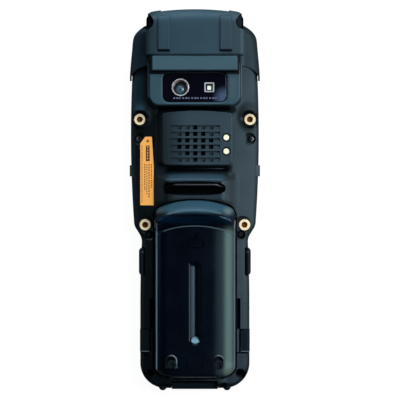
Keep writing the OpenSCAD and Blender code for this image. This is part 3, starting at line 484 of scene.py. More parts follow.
# %% Tones of the shell
BLACK = (0.0002, 0.0004, 0.0012)
PAINTED_SHADE = (0.0007, 0.0012, 0.0020)
# Painted light on the shell: black painted shade in the valleys, the strap recess and beside the panel, and
# paler painted light on the left shoulder, the ridge and the left insert's boss.
paint_light_all(
    SHELL,
    ((0.006, 0.017, 0.027), (-36, -26.5, 47, 66), 3.0, None, None, 13.5),  # left shoulder
    (BLACK, (-20.5, 18.5, 46.4, 48.9), 0.9, 0.06),  # valley over the speaker panel
    (BLACK, (-23.0, -19.8, 45.8, 48.2), 0.7, 0.9),  # its left end
    (BLACK, (-20.3, -16.9, 16, 46), 0.8, 0.85),  # shade beside the panel
    (BLACK, (-19.2, -15, 14.6, 17.4), 0.9, 0.9),  # and at its lower corner
    (BLACK, (-14.8, 17.5, 14.6, 17.6), 1.0, 0.26),  # valley under the panel
    ((0.0006, 0.0010, 0.0018), (-22, -15.8, 11.8, 16), 1.2, 0.8),  # left end of the ridge
    ((0.016, 0.039, 0.060), (-14.0, 15.5, 9.9, 13.0), 2.4),  # upper flank of the ridge
    ((0.013, 0.023, 0.034), (-11, 15, 0.6, 2.2), 0.9),  # ridge below the strap recess
    ((0.012, 0.032, 0.052), (-31.5, -27, 46.0, 49.0), 1.8),  # left insert's boss
    ((0.0003, 0.0004, 0.0008), (-16.2, 14.8, 3.0, 8.9), 0.5, 0.15),  # strap recess
)
for side in (-1, 1):
    # Painted shade in a ring round each upper insert, and a painted highlight line along each side of the
    # camera platform.
    insert_place = (side * INSERTS[0][0], INSERTS[0][1])
    paint_light(SHELL, PAINTED_SHADE, (*ALL_X, 3.0, 4.9), 0.4, 0.2, insert_place, 14.3)
    rim = (*beside(side * 24.55, 0.25), 53, 71)
    paint_light(SHELL, (0.060, 0.080, 0.100), rim, 0.15, above=21.6)
# Painted shade on the lower right flank, and beside the right lug of the lower cap.
paint_light(SHELL, (0.0045, 0.0075, 0.0085), (22, 27.8, -70, -50), 7)
paint_light(CAP, PAINTED_SHADE, (13.8, 16.8, -98.6, -92.5), 0.6, 0.2)
print("shell", len(SHELL.node_tree.nodes), "shader nodes")

# %% Tones of the battery cover
SATIN = 0.42
RIM_SHADE = (0.0015, 0.0025, 0.0040)
# Painted light on the cover: painted highlights on the roll, the right flank, the edges and the groove, a
# painted glint at the groove's lower end, and painted shade at the foot of the roll.
paint_light_all(
    COVER,
    ((0.0175, 0.050, 0.073), (-20.5, 20.5, -6.6, 3.0), 1.8, SATIN),  # roll at the upper end
    ((0.080, 0.108, 0.112), (15.5, 19.5, -7.6, -4.4), 1.8, SATIN),  # its right corner
    ((0.0012, 0.0100, 0.0270), (-19, 19, -12.4, -9.0), 1.2),  # shade at the foot of the roll
    ((0.016, 0.026, 0.029), (12.0, 30, -100, -14.5), 3.5, SATIN),  # right flank
    ((0.054, 0.088, 0.072), (15.6, 19.5, -100, -14.5), 1.8, SATIN),  # its bright band
    ((0.078, 0.112, 0.088), (15.4, 19.3, -91.5, -84.5), 1.8, SATIN),  # lower end of the band
    ((0.220, 0.300, 0.430), (-20.2, -19.7, -89, -12.5), 0.4, SATIN),  # left edge line
    ((0.080, 0.095, 0.110), (-2.95, -2.7, -74.0, -33.5), 0.12, SATIN),  # lip of the groove
    ((0.080, 0.100, 0.130), (20.4, 21.1, -89, -12.5), 0.3, SATIN, None, 20.6),  # right edge line
    ((0.080, 0.125, 0.155), (-16.5, 16.5, 52.55, 53.05), 0.25, SATIN, (0, -66.65)),  # foot of the roll, lit
    ((0.012, 0.018, 0.022), (-2.6, -0.9, -72, -34.5), 0.6, SATIN),  # left wall of the groove
    ((0.115, 0.205, 0.255), (-3, 3, -1, 1.8), 0.35, SATIN, (0.2, -73.5)),  # painted glint at the groove's lower end
)
# Painted light on the latch rims: painted shade on one half of each rim, a painted highlight on the other.
paint_light_all(
    RIM,
    (RIM_SHADE, (-20, -13.4, -100, -70), 0.7),  # outer half of the left rim
    (RIM_SHADE, (5, 10.8, -100, -70), 0.7),  # inner half of the right rim
    ((0.090, 0.110, 0.130), (-12.6, -8, -85.5, -70), 0.7),  # lit half of the left rim
    ((0.065, 0.085, 0.100), (11.6, 16, -82.6, -70), 0.7),  # lit half of the right rim
)
print("cover", len(COVER.node_tree.nodes), "shader nodes")

# %% Tones of the head, the bezel and the panel
# Painted light on the head: a greyer right side of the block, a tone for each cheek by the light on its
# side, and painted shadow at the rib feet and in the corner scoops. The visor's ends get painted shade.
CHEEK_PAINTED_LIGHT = {-1: (0.0042, 0.0105, 0.0185), 1: (0.0050, 0.0085, 0.0085)}
paint_light(BUMPER, (0.0225, 0.0375, 0.0465), (16, 26, 60, 101), 7)
for side in (-1, 1):
    scoop_place = (side * SCOOP_PLACE[0], SCOOP_PLACE[1])
    paint_light(BUMPER, CHEEK_PAINTED_LIGHT[side], (*outer(side, 25.9), 60, 90), 0.4)
    paint_light(BUMPER, PAINTED_SHADE, (*beside(side * RIB_X, 3.3), 77.0, 78.3), 0.2)
    paint_light(BUMPER, PAINTED_SHADE, (*ALL_X, -1, 4.2), 0.1, 0.2, scoop_place)
    paint_light(BEZEL, PAINTED_SHADE, (*beside(side * 23.1, 0.9), 66, 75), 0.3)
# A painted shadow under the visor, and painted highlights on the visor's top and the bezel's right side.
paint_light(BEZEL, PAINTED_SHADE, (-24, 24, 65.3, 67.3), 0.3, 0.25)
paint_light(BEZEL, (0.040, 0.078, 0.098), (-22, 22, 67.9, 75), 0.3)
paint_light(BEZEL, (0.044, 0.070, 0.089), (18.5, 21.5, 52, 64.5), 2.4)
# Painted shade on the panel's left flank.
paint_light(PANEL, (0.0006, 0.0009, 0.0018), (-30, -16.6, 10, 50), 0.5, 0.85)
# Painted reflections: a pale arc inside the lens barrel and a blue glow toward the glass's lower right.
lens_place = (LENS_X, GLASS_Y - 0.9)
paint_light(BARREL, (0.50, 0.42, 0.40), (-11, -4, 3.65, 4.15), 0.15, None, lens_place)
paint_light(LENS_GLASS, (0.060, 0.090, 0.155), (*ALL_X, -1, 3.6), 3.4, None, (15.4, 53.2))
print("bumper", len(BUMPER.node_tree.nodes), "shader nodes")

# %% Tones of small rubber and metal parts
for side in (-1, 1):
    # Both passes lie on both port lids: they paint a highlight along the lids' lower edge, and the second
    # one firms the line's rim.
    paint_light(LID, (0.085, 0.110, 0.150), (*ALL_X, -79.65, -79.3), 0.12, above=16.5)
    # A painted glint near the top of each scan pad, painted shade on the outer rim of each insert and in
    # each lower screw well, and a painted glint on each upper screw.
    paint_light(PAD, (0.050, 0.058, 0.072), (*beside(side * 27.5, 1.0), -27.8, -27.3), 0.3)
    for x, y, top in INSERTS:
        paint_light(BRASS, (0.20, 0.13, 0.07), (*ALL_X, 2.85, 4.0), 0.15, None, (side * x, y))
    high_screw, low_screw = ((side * SCREWS[i][0], SCREWS[i][1]) for i in (0, 2))
    paint_light(SCREW, PAINTED_SHADE, (*ALL_X, -1, 1.9), 0.2, None, low_screw)
    glint = (*sorted((side * 29.5, side * 32)), 0.55, 1.25)
    paint_light(SCREW, (0.22, 0.24, 0.27), glint, 0.25, None, high_screw)
# A painted glint on the right of the lens ring, and painted shade on the strap rod left of x = -10.4.
paint_light(SILVER, (0.95, 0.95, 0.95), (-3.9, -2.8, 57.9, 59.7), 0.2)
paint_light(STEEL, (0.012, 0.014, 0.018), (-30, -10.4, -20, 20), 0.9)
print("screws", len(SCREW.node_tree.nodes), "shader nodes")

# %% [markdown]
# ## Modelling helpers
#
# Each new piece starts as a primitive and is shaped in edit mode. Sizes below are in
# millimetres, as on a drawing, and turn into metres when a primitive is placed. A piece that
# replaces a CAD node keeps that node's place, so it moves with the same body.

# %% Selecting and editing
SAME_HEIGHT = 0.02


def select_only(piece):
    clear_selection()
    bpy.context.view_layer.objects.active = piece
    piece.select_set(True)


def edit(piece, select_mode="FACE"):
    """Opens one piece in edit mode with nothing selected."""
    select_only(piece)
    bpy.ops.object.mode_set(mode="EDIT")
    bpy.ops.mesh.select_mode(type=select_mode)
    bpy.ops.mesh.select_all(action="DESELECT")


def done():
    bpy.ops.object.mode_set(mode="OBJECT")


def turn_outward_and_close():
    """Turns all faces of the piece in edit mode outwards and leaves edit mode."""
    bpy.ops.mesh.select_all(action="SELECT")
    bpy.ops.mesh.normals_make_consistent(inside=False)
    done()


def pick_edges(piece, wanted):
    """Selects the edges whose two ends, in millimetres, satisfy wanted(a, b)."""
    mesh = bmesh.from_edit_mesh(piece.data)
    count = 0
    for edge in mesh.edges:
        a, b = (v.co / MM for v in edge.verts)
        if wanted(a, b):
            edge.select_set(True)
            count += 1
    mesh.select_flush_mode()
    bmesh.update_edit_mesh(piece.data)
    return count


def move_vertices(piece, place):
    """Puts every vertex, given in millimetres, where place(x, y, z) says."""
    for vertex in piece.data.vertices:
        vertex.co = Vector(place(*(vertex.co / MM))) * MM
    piece.data.update()


def turned(piece, place):
    """Moves every vertex as place(x, y, z) says and turns the faces outwards again."""
    move_vertices(piece, place)
    edit(piece)
    turn_outward_and_close()
    return piece


def bevel_edges(piece, width, segments, wanted):
    """Rounds the picked edges."""
    edit(piece, "EDGE")
    if pick_edges(piece, wanted):
        bpy.ops.mesh.bevel(
            offset=width * MM, segments=segments, profile=0.5, affect="EDGES", clamp_overlap=True,
        )
    done()


def flat_at(z):
    """Picks the edges that lie at one height."""
    return lambda a, b: max(abs(a.z - z), abs(b.z - z)) < SAME_HEIGHT


# %% Prisms, rods and cuts
OVER_ALL = 40  # the height up to which cutting tools reach, above every piece


def prism(name, outline, z0, z1):
    """A flat outline, extruded from z0 to z1."""
    clear_selection()
    bpy.ops.mesh.primitive_circle_add(vertices=len(outline), radius=1, fill_type="NGON")
    piece = bpy.context.object
    piece.name = name
    for vertex, point in zip(piece.data.vertices, outline):
        vertex.co = Vector((point[0], point[1], z0)) * MM
    edit(piece)
    bpy.ops.mesh.select_all(action="SELECT")
    upward = {"value": (0, 0, (z1 - z0) * MM)}
    bpy.ops.mesh.extrude_region_move(TRANSFORM_OT_translate=upward)
    turn_outward_and_close()
    return piece


def slab(name, x0, x1, y0, y1, z0, z1):
    return prism(name, [(x0, y0), (x1, y0), (x1, y1), (x0, y1)], z0, z1)


def side_slab(name, side, x0, x1, *rest):
    """A slab between two distances from the middle, on one side."""
    return slab(name, *sorted((side * x0, side * x1)), *rest)


def rod(name, radius, z0, z1, x=0, y=0, sides=48, top_radius=None):
    """A cylinder or cone frustum that stands on z0."""
    clear_selection()
    top = radius if top_radius is None else top_radius
    bpy.ops.mesh.primitive_cone_add(
        vertices=sides, radius1=radius * MM, radius2=top * MM, depth=(z1 - z0) * MM,
        location=Vector((x, y, (z0 + z1) / 2)) * MM,
    )
    bpy.ops.object.transform_apply(location=True)
    bpy.context.object.name = name
    return bpy.context.object


def ball(radius, place, segments, rings):
    clear_selection()
    bpy.ops.mesh.primitive_uv_sphere_add(
        segments=segments, ring_count=rings, radius=radius * MM, location=Vector(place) * MM,
    )
    bpy.ops.object.transform_apply(location=True)
    return bpy.context.object


def combine(piece, other, operation="DIFFERENCE"):
    """Cuts, joins or intersects a piece with another one, which is used up."""
    select_only(piece)
    modifier = piece.modifiers.new("combine", "BOOLEAN")
    modifier.operation = operation
    modifier.solver = "MANIFOLD"
    modifier.object = other
    bpy.ops.object.modifier_apply(modifier=modifier.name)
    bpy.data.objects.remove(other)
    return piece


def cut(piece, *tools):
    """Cuts a piece with one tool after another."""
    for tool in tools:
        combine(piece, tool)


def frustum(name, low, high, z0, z1):
    """A prism whose upper outline differs from its lower one, point by point."""
    piece = prism(name, low, z0, z1)
    lows = {(round(x, 4), round(y, 4)): i for i, (x, y) in enumerate(low)}
    for vertex in piece.data.vertices:
        if vertex.co.z > (z0 + z1) / 2 * MM:
            point = high[lows[(round(vertex.co.x / MM, 4), round(vertex.co.y / MM, 4))]]
            vertex.co.x = point[0] * MM
            vertex.co.y = point[1] * MM
    piece.data.update()
    return piece


def bar_across(name, profile, x0, x1):
    """A bar along X whose section is given as y and z."""
    return turned(prism(name, profile, x0, x1), lambda x, y, z: (z, x, y))


def bar_along(name, profile, y0, y1):
    """A bar along Y whose section is given as x and z."""
    section = [(x, -z) for x, z in profile]
    return turned(prism(name, section, y0, y1), lambda x, y, z: (x, z, -y))


# %% Joining, softening and naming


def joined(pieces):
    """One mesh from separate closed pieces that don't touch."""
    clear_selection()
    for piece in pieces:
        piece.select_set(True)
    bpy.context.view_layer.objects.active = pieces[0]
    bpy.ops.object.join()
    return bpy.context.object


def apply_modifier(piece, kind, **settings):
    select_only(piece)
    modifier = piece.modifiers.new(kind.lower(), kind)
    for setting, value in settings.items():
        setattr(modifier, setting, value)
    bpy.ops.object.modifier_apply(modifier=modifier.name)


def soften(piece, width):
    """Rounds every sharp edge of a piece with one Bevel modifier."""
    apply_modifier(
        piece, "BEVEL", width=width * MM, segments=2, limit_method="ANGLE",
        angle_limit=math.radians(30), harden_normals=False,
    )


def finished(piece, name, finish, body, slot, *stands_for, angle=32):
    """Names a piece, gives it its finish and lets it ride on its body."""
    select_only(piece)
    bpy.ops.object.shade_smooth_by_angle(angle=math.radians(angle))
    apply_modifier(piece, "WEIGHTED_NORMAL", keep_sharp=True)
    piece.name = name
    piece.data.name = name
    piece.data.materials.clear()
    piece.data.materials.append(finish)
    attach(piece, body)
    if stands_for:
        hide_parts(*stands_for)
    print(name, len(piece.data.polygons), "faces")


# %% Outlines


def arc_points(centre, radius, start, stop, steps):
    angles = [math.radians(start + (stop - start) * i / steps) for i in range(steps + 1)]
    return [(centre[0] + radius * math.cos(a), centre[1] + radius * math.sin(a)) for a in angles]


def stadium(width, y0, y1, x=0, steps=12):
    """An outline with round ends, along Y."""
    r = width / 2
    lower = arc_points((x, y0 + r), r, 180, 360, steps)
    return lower + arc_points((x, y1 - r), r, 0, 180, steps)


def both_sides(right):
    """Mirrors a right half, given from bottom to top, into a closed outline."""
    return right + [(-x, y) for x, y in reversed(right) if x > 1e-6]


def round_rectangle(width, length, radius, centre=(0, 0), steps=8):
    w, h = width / 2 - radius, length / 2 - radius
    points = []
    for x, y, start in ((w, -h, -90), (w, h, 0), (-w, h, 90), (-w, -h, 180)):
        points += arc_points((centre[0] + x, centre[1] + y), radius, start, start + 90, steps)
    return points


def ease(t):
    """Smooth step from 0 to 1."""
    t = min(1.0, max(0.0, t))
    return t * t * (3 - 2 * t)


def mix(a, b, t):
    return a + (b - a) * t


def arc_reach(radius, away):
    """Height of a circle's arc at a distance away from its middle."""
    return math.sqrt(max(0, radius**2 - away**2))


def nearness(distance, width):
    """1 on an edge, falling to 0 at a width from it."""
    return max(0.0, width - distance) / width


def rounding(*nearnesses):
    """How far a rounded edge has fallen, as a share of its radius."""
    out = math.hypot(*nearnesses)
    return 1 - math.sqrt(max(0, 1 - out * out))


# %% Sheets and skirts


def sheet(name, columns, rows, place):
    """A grid whose unit coordinates u and v, each 0 to 1, are put at place(u, v)."""
    clear_selection()
    bpy.ops.mesh.primitive_grid_add(x_subdivisions=columns, y_subdivisions=rows, size=1)
    piece = bpy.context.object
    piece.name = name
    for vertex in piece.data.vertices:
        vertex.co = Vector(place(vertex.co.x + 0.5, vertex.co.y + 0.5)) * MM
    piece.data.update()
    return piece


def add_skirt(piece, z):
    """Extrudes the rim of a sheet straight down to one height and closes it below."""
    edit(piece, "EDGE")
    bpy.ops.mesh.select_non_manifold()
    bpy.ops.mesh.extrude_region_move(TRANSFORM_OT_translate={"value": (0, 0, 0)})
    mesh = bmesh.from_edit_mesh(piece.data)
    for vertex in mesh.verts:
        if vertex.select:
            vertex.co.z = z * MM
    bmesh.update_edit_mesh(piece.data)
    bpy.ops.mesh.edge_face_add()
    turn_outward_and_close()
    return piece


# %% [markdown]
# ## Battery cover
#
# The cover is the largest moulding on the back. Its top end swells into a roll that the
# fingers rest behind, its long edges are round, and a shallow groove runs down its middle.
# One grid follows the cover's own outline, so the rounding stays even round the corners.

# %% Shape of the battery cover
COVER_HALF = 21.2
COVER_TOP = -0.35
COVER_BOTTOM = -93.3
COVER_ARCH = 53.0
COVER_FACE_Z = 26.2
COVER_FOOT_Z = 15.6
COVER_EDGE = 6.5
COVER_TOP_EDGE = 8.5
COVER_END_EDGE = 1.9
TOP_CORNER = 3.5
LOW_CORNER_X = 10
LOW_CORNER_Y = 6
ROLL_START_Z = 23.2
ROLL_TOP_Z = 31.0
ROLL_AT = 7.2
ROLL_END = 13.1
ROLL_STEP = 0.65
ROLL_STEP_LENGTH = 1.15
FACE_CROWN = 0.35
ARCH_END = 34
ARCH_FADE = 22
COVER_LENGTH = COVER_TOP - COVER_BOTTOM


def cover_half_width(s):
    """Half width of the cover at a distance s from its upper edge."""
    to_end = COVER_LENGTH - s
    if s < TOP_CORNER:
        return COVER_HALF - TOP_CORNER + arc_reach(TOP_CORNER, TOP_CORNER - s)
    if to_end < LOW_CORNER_Y:
        share = (LOW_CORNER_Y - to_end) / LOW_CORNER_Y
        return COVER_HALF - LOW_CORNER_X + LOW_CORNER_X * arc_reach(1, share)
    return COVER_HALF


def cover_arch(x, s):
    """How far a line across the cover bends back from the middle."""
    bend = COVER_ARCH - arc_reach(COVER_ARCH, x)
    return bend * (1 - ease((s - ARCH_END + ARCH_FADE) / ARCH_FADE))


def cover_profile(s):
    """Height along the middle of the cover: a roll, a step and the long flat face."""
    step_z = COVER_FACE_Z - ROLL_STEP
    if s < ROLL_AT:
        swell = math.sin(math.pi / 2 * s / ROLL_AT) ** 0.9
        return ROLL_START_Z + (ROLL_TOP_Z - ROLL_START_Z) * swell
    if s < ROLL_END:
        return mix(ROLL_TOP_Z, step_z, ease((s - ROLL_AT) / (ROLL_END - ROLL_AT)))
    return mix(step_z, COVER_FACE_Z, min(1, (s - ROLL_END) / ROLL_STEP_LENGTH))


def cover_height(x, s):
    """Height of the cover at x and at a distance s from its upper edge."""
    half = cover_half_width(s)
    edge = mix(COVER_TOP_EDGE, COVER_EDGE, ease((s - 6) / 8))
    fall = rounding(nearness(half - abs(x), edge), nearness(COVER_LENGTH - s, COVER_END_EDGE))
    return cover_profile(s) - edge * 0.97 * fall - FACE_CROWN * (x / half) ** 2


# Rows lie close together where the height changes fast: at the roll and at the lower end.
COVER_ROWS = [0.0, 0.15, 0.35, 0.6, 0.9, 1.25, 1.7, 2.2, 2.8, 3.5]
COVER_ROWS += [3.5 + 0.35 * i for i in range(1, 34)]
COVER_ROWS += [15.5 + 2.4 * i for i in range(30)]
COVER_ROWS += [COVER_LENGTH - 6.2 * (1 - i / 22) ** 1.6 for i in range(23)]


def cover_place(u, v):
    s = COVER_ROWS[round((1 - v) * (len(COVER_ROWS) - 1))]
    t = 2 * u - 1
    x = cover_half_width(s) * math.copysign(math.sin(math.pi / 2 * abs(t)) ** 0.8, t)
    return (x, COVER_TOP - s - cover_arch(x, s), cover_height(x, s))


cover = add_skirt(sheet("battery_lid", 56, len(COVER_ROWS) - 1, cover_place), COVER_FOOT_Z)
print("cover", len(cover.data.vertices), "points")

# %% Groove of the cover
GROOVE_HALF = 2.55
GROOVE_DEPTH = 1.6
GROOVE_X = 0.3
GROOVE_TOP = -32.6
GROOVE_END = -75.4
GROOVE_LIP = 0.75
LIP_SLOPE = 0.35


def capsule(radius, half, y0, y1, x, low_z):
    """A bar along Y with round ends, whose lowest line is at low_z."""
    middle = low_z + radius
    bar = turned(
        rod("capsule", radius, y0 + half, y1 - half, sides=64),
        lambda px, py, pz: (px + x, pz, middle - py),
    )
    for y in (y0 + half, y1 - half):
        combine(bar, ball(radius, (x, y, middle), 64, 48), "UNION")
    return bar


def groove_outline(grow):
    width = 2 * (GROOVE_HALF + grow)
    return stadium(width, GROOVE_END - grow, GROOVE_TOP + grow, GROOVE_X)


cut(cover, frustum(
    "lip", groove_outline(GROOVE_LIP - LIP_SLOPE), groove_outline(GROOVE_LIP),
    COVER_FACE_Z - 0.4, COVER_FACE_Z + 0.05,
))
ledge_depth = GROOVE_DEPTH - 0.4
groove_radius = (GROOVE_HALF**2 + ledge_depth**2) / (2 * ledge_depth)
groove_low_z = COVER_FACE_Z - GROOVE_DEPTH
groove = capsule(groove_radius, GROOVE_HALF, GROOVE_END - 2, GROOVE_TOP, GROOVE_X, groove_low_z)
ramp_top = GROOVE_END + 3.2
ramp = [(-86, 20), (ramp_top, 20), (ramp_top, 24.3), (GROOVE_END, 26.35), (-86, 26.35)]
cut(groove, bar_across("ramp", ramp, -9, 9))
groove_plan = stadium(2 * GROOVE_HALF + 0.2, GROOVE_END, GROOVE_TOP + 0.1, GROOVE_X, 24)
combine(groove, prism("groove_end", groove_plan, 20, OVER_ALL), "INTERSECT")
cut(cover, groove)
print("groove radius", round(groove_radius, 2))

# %% Latch wells of the cover
LATCH_X = 12.3
WELL_LOW = -88.6
WELL_HIGH = -81.7
WELL_DEPTH = 3.4
RIM_PROUD = 0.55


def arched_rim(name, x, grow, z0, z1):
    """A plate with a round upper end, wider than a latch well by a rim."""
    return prism(name, stadium(6.3 + 2 * grow, WELL_LOW - 3, WELL_HIGH + 0.75 + grow, x), z0, z1)


def rim_end(x, y1):
    """Cuts a rim off square, so that it stays open toward the lower end."""
    return slab("rim_end", *beside(x, 5), WELL_LOW - 9, y1, 10, OVER_ALL + 10)


rims = []
for x in (-LATCH_X, LATCH_X):
    rim = arched_rim("rim", x, 0, COVER_FACE_Z - 3, COVER_FACE_Z + RIM_PROUD)
    bevel_edges(rim, 0.38, 4, flat_at(COVER_FACE_Z + RIM_PROUD))
    well = stadium(4.9, WELL_LOW, WELL_HIGH, x)
    well_z = (COVER_FACE_Z - WELL_DEPTH, OVER_ALL)
    cut(rim, rim_end(x, WELL_LOW + 0.6), prism("well", well, *well_z))
    rims.append(rim)
    seat = arched_rim("rim_seat", x, 0.02, COVER_FACE_Z - 3.02, OVER_ALL)
    cut(seat, rim_end(x, WELL_LOW + 0.58))
    hook_z = (COVER_FACE_Z - 6.8, COVER_FACE_Z - 5.2)
    cut(
        cover, seat, prism("low_well", well, *well_z),
        slab("hook_way", *beside(x, 1.5), COVER_BOTTOM - 1, -84.9, *hook_z),
    )
print(len(rims), "latch rims")

# %% Engraved signs of the cover
SIGN_DEPTH = 0.3
SIGN_X = (-3.8, 4.4)
SIGN_Y = (-25.6, -20.7)
SIGN_GAP_X = (-1.2, 1.7)
LINE = 0.62
sign_shades = []


def engrave(outline):
    """Sinks a sign into the cover's face and lays a dark film on its floor, as painted shade."""
    middle_x = sum(px for px, py in outline) / len(outline)
    middle_y = sum(py for px, py in outline) / len(outline)
    z = cover_height(middle_x, COVER_TOP - cover_arch(middle_x, 20) - middle_y) - SIGN_DEPTH
    cut(cover, prism("sign", outline, z, z + SIGN_DEPTH + 3))
    sign_shades.append(prism("sign_shade_film", outline, z - 0.2, z + 0.03))


def engrave_bar(x0, x1, y0, y1):
    engrave([(x0, y0), (x1, y0), (x1, y1), (x0, y1)])


sign_left, sign_right = SIGN_X
sign_low, sign_high = SIGN_Y
engrave_bar(sign_left, sign_right, sign_low, sign_low + LINE)
engrave_bar(sign_left, sign_left + LINE, sign_low + LINE, sign_high - LINE)
engrave_bar(sign_right - LINE, sign_right, sign_low + LINE, sign_high - LINE)
engrave_bar(sign_left, SIGN_GAP_X[0], sign_high - LINE, sign_high)
engrave_bar(SIGN_GAP_X[1], sign_right, sign_high - LINE, sign_high)
engrave_bar(sign_right, sign_right + 0.6, -24.1, -22.2)
engrave_bar(2.0, 3.2, -23.4, -22.8)
engrave([
    (2.9, -17.3), (0.6, -17.6), (-1.2, -20.6), (0.2, -20.5), (-1.6, -23.4), (2.0, -19.6),
    (0.9, -19.5),
])
for x in (-4.2, 4.0):
    engrave_bar(*beside(x, 0.25), -87.6, -84.6)
engrave_bar(-4.45, 4.25, -88.1, -87.7)
for y in (-86.2, -85.1):
    engrave_bar(0.2, 2.4, y, y + 0.4)
finished(cover, "battery_lid", COVER, "battery", "cover", "battery_cover")
# A painted highlight along the cover's lower edge.
painted_edge_highlight = (-12.5, 14.0, COVER_BOTTOM - 1, COVER_BOTTOM + 0.55)
paint_light(COVER, (0.17, 0.19, 0.23), painted_edge_highlight, 0.15, SATIN, above=22.6)
finished(joined(rims), "latch_rims", RIM, "battery", "cover")
# Painted shade: black films on the floors of the engraved signs.
finished(joined(sign_shades), "sign_shade_films", SIGN_SHADE, "battery", "cover")

# %% [markdown]
# ## Rear shell
#
# The back of the housing is one thin moulding: a crowned deck with rolled edges, a valley and
# a ridge for the fingers, and a low boss round each upper insert. A height for every point of
# a grid describes it best. Its sharp features, such as wells and pockets, are then cut.

# %% Outline of the deck
UPPER_HALF = 33.6
UPPER_TAPER = 0.00078
WIDEST_Y = 34.0
SHOULDER_Y = -11.5
SHOULDER_RADIUS = 7.0
SHOULDER_ANGLE = math.radians(32)
GRIP_HALF = 28.65
GRIP_TOP_Y = -22.13
GRIP_TOP_HALF = 27.85
GRIP_WAIST_END = -55
LOW_CORNER = 13.0
LOW_Y = -98.8


def upper_half(y):
    return UPPER_HALF - UPPER_TAPER * (y - WIDEST_Y) ** 2


def half_width(y):
    """Half width of the housing at y."""
    if y >= SHOULDER_Y:
        return upper_half(y)
    shoulder_x = upper_half(SHOULDER_Y)
    arc_drop = SHOULDER_RADIUS * math.sin(SHOULDER_ANGLE)
    arc_width = SHOULDER_RADIUS * (1 - math.cos(SHOULDER_ANGLE))
    upper_arc = SHOULDER_Y - arc_drop
    lower_arc = GRIP_TOP_Y + arc_drop
    if y >= upper_arc:
        return shoulder_x - SHOULDER_RADIUS + arc_reach(SHOULDER_RADIUS, y - SHOULDER_Y)
    if y >= lower_arc:
        share = (y - lower_arc) / (upper_arc - lower_arc)
        return mix(GRIP_TOP_HALF + arc_width, shoulder_x - arc_width, share)
    if y >= GRIP_TOP_Y:
        return GRIP_TOP_HALF + SHOULDER_RADIUS - arc_reach(SHOULDER_RADIUS, y - GRIP_TOP_Y)
    if y >= LOW_Y + LOW_CORNER:
        t = min(1, max(0, (y - GRIP_WAIST_END) / (GRIP_TOP_Y - GRIP_WAIST_END)))
        return GRIP_HALF - (GRIP_HALF - GRIP_TOP_HALF) * t * t
    return GRIP_HALF - LOW_CORNER + arc_reach(LOW_CORNER, y - LOW_Y - LOW_CORNER)


print("widest", 2 * half_width(WIDEST_Y), "mm")

# %% Height of the deck
DECK_Z = 20.0
CROWN = 110.0
SHELL_FOOT_Z = 10.3
ROLLED_EDGE = 3.0
RIDGE_TOP_Z = 24.2
RIDGE_HALF = 13.8
RIDGE_FLANK = 9.5
RIDGE_Y = (-10, 14.6)
RIDGE_FADE = (10, 5)
BOSS = (28.6, 43.4, 7.2, 9.5)  # centre x and y, reach in x and y
BOSS_RISE = 1.7
VALLEYS = (
    # middle in y, reach, depth, half width of the full depth, fade toward its ends
    (16.2, 3.0, 1.3, 15, 5),
    (46.9, 1.9, 1.4, 18, 4),
)


def bump(x, y, cx, cy, rx, ry):
    """1 at the centre of an oval, falling smoothly to 0 at its rim."""
    return 1 - ease(math.hypot((x - cx) / rx, (y - cy) / ry))


def crown_z(x):
    """Height of the crowned deck, before its edges roll off."""
    return DECK_Z - CROWN + arc_reach(CROWN, x)


def ridge_share(x, y):
    """1 on top of the ridge that the fingers hook over, 0 on the deck."""
    across = 1 - ease((abs(x) - RIDGE_HALF) / RIDGE_FLANK)
    low, high = RIDGE_Y
    return across * (ease((high - y) / RIDGE_FADE[1]) * ease((y - low) / RIDGE_FADE[0]))


def deck_height(x, y):
    """Height of the back: crown, bosses, valleys and ridge, then the rolled edges."""
    z = crown_z(x) + BOSS_RISE * bump(abs(x), y, *BOSS)
    for valley_y, reach, depth, flat, fade in VALLEYS:
        z -= depth * (1 - ease((abs(x) - flat) / fade)) * bump(0, y, 0, valley_y, 1, reach)
    z = mix(z, RIDGE_TOP_Z, ridge_share(x, y))
    across = nearness(half_width(y) - abs(x), ROLLED_EDGE)
    return z - ROLLED_EDGE * 0.9 * rounding(across, nearness(y - LOW_Y, ROLLED_EDGE))


def spaced(u, power):
    """Turns 0 to 1 into -1 to 1, with its steps closer together toward both ends."""
    t = 2 * u - 1
    return math.copysign(1 - (1 - abs(t)) ** power, t)


def row_sheet(name, rows, columns, place):
    """A sheet whose rows lie at given values: place(u, row) puts its points."""
    last = len(rows) - 1
    return sheet(name, columns, last, lambda u, v: place(u, rows[round(v * last)]))


def deck_piece(name, rows, columns):
    """A closed solid under the deck between the first and the last row."""

    def place(u, y):
        x = half_width(y) * spaced(u, 1.25)
        return (x, y, deck_height(x, y))

    return add_skirt(row_sheet(name, rows, columns, place), SHELL_FOOT_Z)


def steps(start, stop, step):
    count = round((stop - start) / step)
    return [start + (stop - start) * i / count for i in range(count)]


SHELL_ROWS = steps(-79.9, -23, 1.6) + steps(-23, -10, 0.6) + steps(-10, -4, 1.0)
SHELL_ROWS += steps(-4, 19, 0.35) + steps(19, 34, 1.5) + steps(34, 54, 0.7) + steps(54, 77, 1.6)
shell = deck_piece("rear_shell", SHELL_ROWS + [77], 96)
print("deck", len(shell.data.vertices), "points")

# %% Bay, strap recess and platform
BAY_GAP = 0.85
BAY_FLOOR_Z = 12.0
RECESS_CENTRE = (-0.5, 5.75)
RECESS_FLOOR_Z = 15.0
PLATFORM_Z = 22.28
EYE_POINTS = 48


